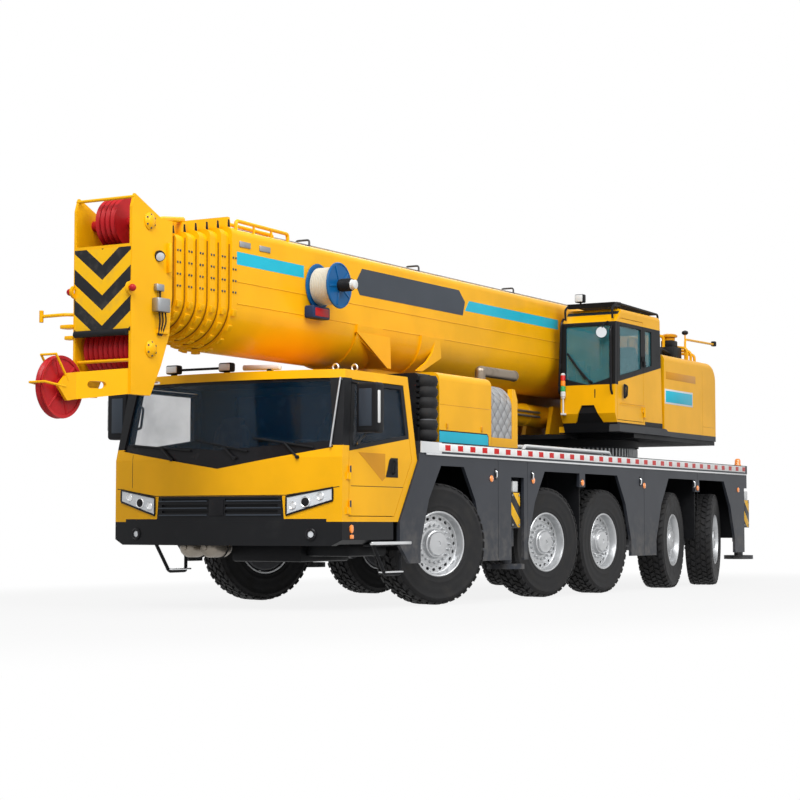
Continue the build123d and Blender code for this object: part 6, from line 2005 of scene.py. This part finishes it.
@dataclass
class TailDress(Assembly):
    """Tail fittings: blank plate, louvres, valve block, pipes, camera arm, winch rope and cylinder gland."""

    body: str = "superstructure"
    outer: float = 1.42
    top: float = 3.34
    camera_at: Row = (-5.75, 1.1)
    winch: Row = (-5.55, 2.56)
    barrel: str = "luff_barrel"
    barrel_foot: Row = (-3.12, 0.0, 2.42)
    rod_eye: Row = (1.58, 0.0, 2.47)
    barrel_end: float = 1.162
    band_places: Row = (0.7, 2.0, 3.2)

    def panels(self) -> None:
        """Blue plate in its frame, a recess in painted shade on the left, louvres on the right, seams on
        both.
        """
        y = self.outer
        for word, finish, row in (
                ("plate", "stripe_cyan", ((-5.19, y - 0.004, 2.655), (-4.18, y + 0.006, 2.82), 0.004)),
                ("plate_frame", "tank_white", ((-5.22, y - 0.004, 2.63), (-4.15, y + 0.003, 2.845), 0.002)),
                # the recess is a proud sheet in darker yellow: painted shade, not a hollow
                ("recess", "shade_yellow", ((-5.34, y - 0.004, 2.985), (-4.19, y + 0.0015, 3.095), 0.002))):
            self.add_blocks(f"tail_{word}", finish, [row])
        slats = [((-5.9, -y - 0.008, z), (-4.4, -y + 0.004, z + 0.03), 0.006)
                 for z in np.arange(2.5, 3.0, 0.07)]
        self.add_blocks("tail_louvres", "trim_black", slats)
        self.add_blocks("tail_seams", "shade_yellow",
                        [((-5.62, y - 0.003, 2.25), (-5.614, y + 0.0012, 3.2), 0.002),
                         ((-6.1, y - 0.003, 2.36), (-5.62, y + 0.0012, 2.367), 0.002)], mirror=True)

    def machinery(self) -> None:
        """Valve block, filter cap, bent pipes, hoses and the camera arm above the tail's left house."""
        top = self.top - 0.006
        self.add_blocks("valve_block", "trim_black",
                        [((-5.62, 0.84, top), (-5.28, 1.1, 3.56), 0.02),
                         ((-5.56, 0.87, 3.55), (-5.34, 1.06, 3.66), 0.02)])
        cap = lathe([(0.085, 0.0), (0.088, 0.05), (0.12, 0.055), (0.125, 0.08), (0.1, 0.1), (0.04, 0.11)],
                    28)
        self.add("filter_cap", cap.moved(shift(-5.45, 0.965, 3.655)), "shade_yellow")
        pipes = []
        for number, x in enumerate(np.linspace(-4.35, -5.15, 6)):
            peak, y = 3.62 + 0.05 * (number % 3), 0.78 + 0.05 * (number % 2)
            path = [(x, y, top), (x, y, peak), (x - 0.16, y + 0.1, peak), (x - 0.16, y + 0.1, top)]
            pipes.append(rail(path, 0.024, 0.06))
        for number, x in enumerate(np.linspace(-5.7, -6.0, 3)):
            sink = 0.04 * number
            path = [(x, 0.85, 3.3), (x, 0.85, 3.6 - sink), (x, 1.15, 3.56 - sink), (x, 1.15, 3.24)]
            pipes.append(rail(path, 0.022, 0.06))
        self.add("tail_pipes", pipes, "deep_yellow")
        hoses = [rail([(-5.3, 0.9 + d, 3.45), (-5.05 + d, 0.9 + d, 3.5), (-4.95, 0.9 + d, top)], 0.02, 0.08)
                 for d in (0.0, 0.07, 0.14)]
        self.add("tail_hoses", hoses, "hose_rubber")
        x, y = self.camera_at
        arm = rail([(x, y, 3.28), (x, y, 3.7), (-6.95, y, 3.72)], 0.018, 0.05)
        self.add("camera_arm", [arm, post((x, y, 3.68), (x, y, 3.78), 0.012, 10, 0.002)], "coach_yellow")
        knob = lathe([(0.03, 0.0), (0.05, 0.02), (0.045, 0.05), (0.015, 0.065)], 20).moved(shift(x, y, 3.77))
        self.add("camera_case", [block((-6.99, 1.065, 3.69), (-6.91, 1.135, 3.77), 0.015), knob],
                 "trim_black")

    def hoist(self) -> None:
        """Rope layers on the winch drum."""
        x, z = self.winch
        layers = ribbed(0.224, -0.308, 0.308, 26, 0.012, 48)
        self.add("winch_rope", layers.moved(aim((x, 0.0, z), (x, 1.0, z))), "rope_wire")

    def cylinder(self) -> None:
        """Gland nut and bands on the lift cylinder's barrel, and the pipes along it."""
        base, eye = np.array(self.barrel_foot), np.array(self.rod_eye)
        line = (eye - base) / np.linalg.norm(eye - base)
        gland = lathe([(0.152, 0.0), (0.172, 0.012), (0.172, 0.1), (0.16, 0.112), (0.112, 0.114)], 40)
        end = base + line * ((self.barrel_end - base[0]) / line[0] - 0.115)
        band = ring([(0.15, -0.03), (0.16, -0.024), (0.16, 0.024), (0.15, 0.03), (0.146, 0.0)], 40)
        bands = [band.moved(aim(base + line * s, base + line * (s + 1.0))) for s in self.band_places]
        self.add("lift_gland", [gland.moved(aim(end, end + line)), *bands], "deep_yellow", body=self.barrel)
        pipes = [tube([base + line * reach + np.array([0.0, 0.175, lift]) for reach in (0.5, 4.0)], 0.016)
                 for lift in (0.03, -0.03)]
        self.add("lift_pipes", pipes, "steel_grey", body=self.barrel)

    def build(self) -> None:
        """Makes every fitting."""
        for step in (self.panels, self.machinery, self.hoist, self.cylinder):
            step()


# Stage


@dataclass
class Studio:
    """Floor, light and camera."""

    camera_at: Point = (21.539, 11.931, 0.889)
    heading_deg: float = 30.089
    pitch_deg: float = 3.729
    lens: float = 86.79
    sensor: float = 36.0
    far_end: float = 500.0
    floor_half: float = 140.0
    floor_z: float = -0.002
    fade: Row = (12.0, 6.0)
    pale: Colour = (0.38, 0.38, 0.38)
    white: Colour = (1.0, 1.0, 1.0)
    sky: Colour = (0.95, 0.97, 1.0)
    sky_strength: float = 0.36
    veil: float = 0.87
    lamp_size: float = 12.0
    lamps: Rows = (("key", (16.0, 6.0, 17.0), (0.0, 0.0, 2.0), 4200.0),
                   ("side", (3.0, 18.0, 15.0), (-1.0, 0.0, 2.0), 2600.0),
                   ("back", (-20.0, -10.0, 14.0), (0.0, 0.0, 2.0), 1000.0))

    def floor(self) -> None:
        """Wide pale floor: it keeps the object's shadow, and far away it is white to the eye."""
        ends = (-self.floor_half, self.floor_half)
        material = bpy.data.materials.new("floor_pale")
        graph = Graph(material)
        x, y, _ = graph.axes()
        far = (x * x * (1 / self.fade[0]**2) + y * y * (1 / self.fade[1]**2)).step(0.5, 1.6)
        share = graph.seen() * (far * (1.0 - self.veil) + self.veil)
        ground = graph.principled(Base_Color=self.pale, Roughness=0.85 + graph.noise(3.0, 4.0) * 0.1)
        white = graph.node("ShaderNodeEmission", inputs={"Color": self.white})
        graph.node("ShaderNodeOutputMaterial", inputs={"Surface": graph.mixed(share, ground, white)})
        corners = np.array([[(x, y, self.floor_z) for y in ends] for x in ends])
        linked("floor", grid(corners), material)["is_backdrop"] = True

    def world(self) -> None:
        """Soft light from all round, white where the camera, a mirror or glass sees it."""
        world = bpy.data.worlds.new("studio")
        bpy.context.scene.world = world
        graph = Graph(world)
        soft = graph.node("ShaderNodeBackground", inputs={"Color": self.sky, "Strength": self.sky_strength})
        white = graph.node("ShaderNodeBackground", inputs={"Color": self.white})
        graph.node("ShaderNodeOutputWorld", inputs={"Surface": graph.mixed(graph.seen(), soft, white)})

    def aimed(self, name: str, data: bpy.types.Light | bpy.types.Camera, at: Point,
              look: Vector) -> bpy.types.Object:
        """Links a lamp or camera at a place, with its view along a direction.

        Args:
            name: Name of the object.
            data: Lamp or camera.
            at: Its place.
            look: Direction of its view.

        Returns:
            The object.
        """
        made = bpy.data.objects.new(name, data)
        made.location = at
        made.rotation_euler = look.to_track_quat("-Z", "Y").to_euler()
        bpy.context.scene.collection.objects.link(made)
        return made

    def light(self) -> None:
        """Square soft boxes that point at the machine."""
        for name, at, target, power in self.lamps:
            data = bpy.data.lights.new(name, "AREA")
            data.size = self.lamp_size
            data.energy = power
            self.aimed(name, data, at, Vector(target) - Vector(at))

    def camera(self) -> None:
        """Camera at the photograph's viewing angle."""
        data = bpy.data.cameras.new("camera")
        data.lens = self.lens
        data.sensor_width = self.sensor
        data.clip_end = self.far_end
        heading, pitch = radians(self.heading_deg), radians(self.pitch_deg)
        look = Vector((-cos(heading) * cos(pitch), -sin(heading) * cos(pitch), sin(pitch)))
        bpy.context.scene.camera = self.aimed("camera", data, self.camera_at, look)

    def build(self) -> None:
        """Sets the stage."""
        bpy.context.scene.view_settings.view_transform = "Standard"
        for step in (self.floor, self.world, self.light, self.camera):
            step()


@dataclass
class Dressing:
    """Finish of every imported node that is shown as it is, by the longest start of its name."""

    finish_of: dict[str, str] = field(default_factory=lambda: {
        "chassis_frame": "deck_zones", "axles": "casting_grey", "side_skirts": "frame_grey",
        "driving_cab": "cab_zones", "cab_glass": "screen_zones", "cab_interior": "panel_grey",
        "bumper": "trim_black", "lamps": "lamp_zones", "engine_hood": "hood_zones",
        "engine_block": "casting_grey", "turntable_frame": "turntable_zones",
        "operator_cab": "operator_zones", "operator_glass": "operator_pane",
        "operator_seat": "seat_cloth", "operator_door": "operator_zones",
        "operator_door_glass": "operator_pane", "tail_housing": "tail_zones", "winch": "steel_grey",
        "boom_base": "boom_zones", "boom_sheaves": "sheave_red", "luff_barrel": "deep_yellow",
        "luff_rod": "chrome_rod", "boom_section": "coach_yellow", "cab_door_glass": "cab_pane",
        "cab_door": "door_zones", "outrigger_beam": "frame_grey", "outrigger_jack": "frame_grey",
        "knuckle": "casting_grey", "wheel": "tyre_rubber",
    })

    def build(self) -> None:
        """Gives each node its material."""
        for name, node in frame["nodes"].items():
            start = max((start for start in self.finish_of if name.startswith(start)), key=len)
            node.data.materials.clear()
            node.data.materials.append(STOCK[self.finish_of[start]])


def main() -> None:
    """Builds the scene: the stage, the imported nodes' finishes and every added piece."""
    logging.basicConfig(level=logging.INFO, format="%(name)s %(message)s")
    parts = (Studio(), Dressing(), Wheel(), DrivingCab(), OperatorCab(), BoomDress(), BoomHead(),
             HoodDress(), ChassisDress(), Outriggers(), TailDress())
    for part in parts:
        part.build()
        LOG.info("%s done", type(part).__name__)
    low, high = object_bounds()
    sizes = {"cad": [list(CAD_BOX[0]), list(CAD_BOX[1])], "visual": [list(low), list(high)]}


if __name__ == "__main__":
    main()
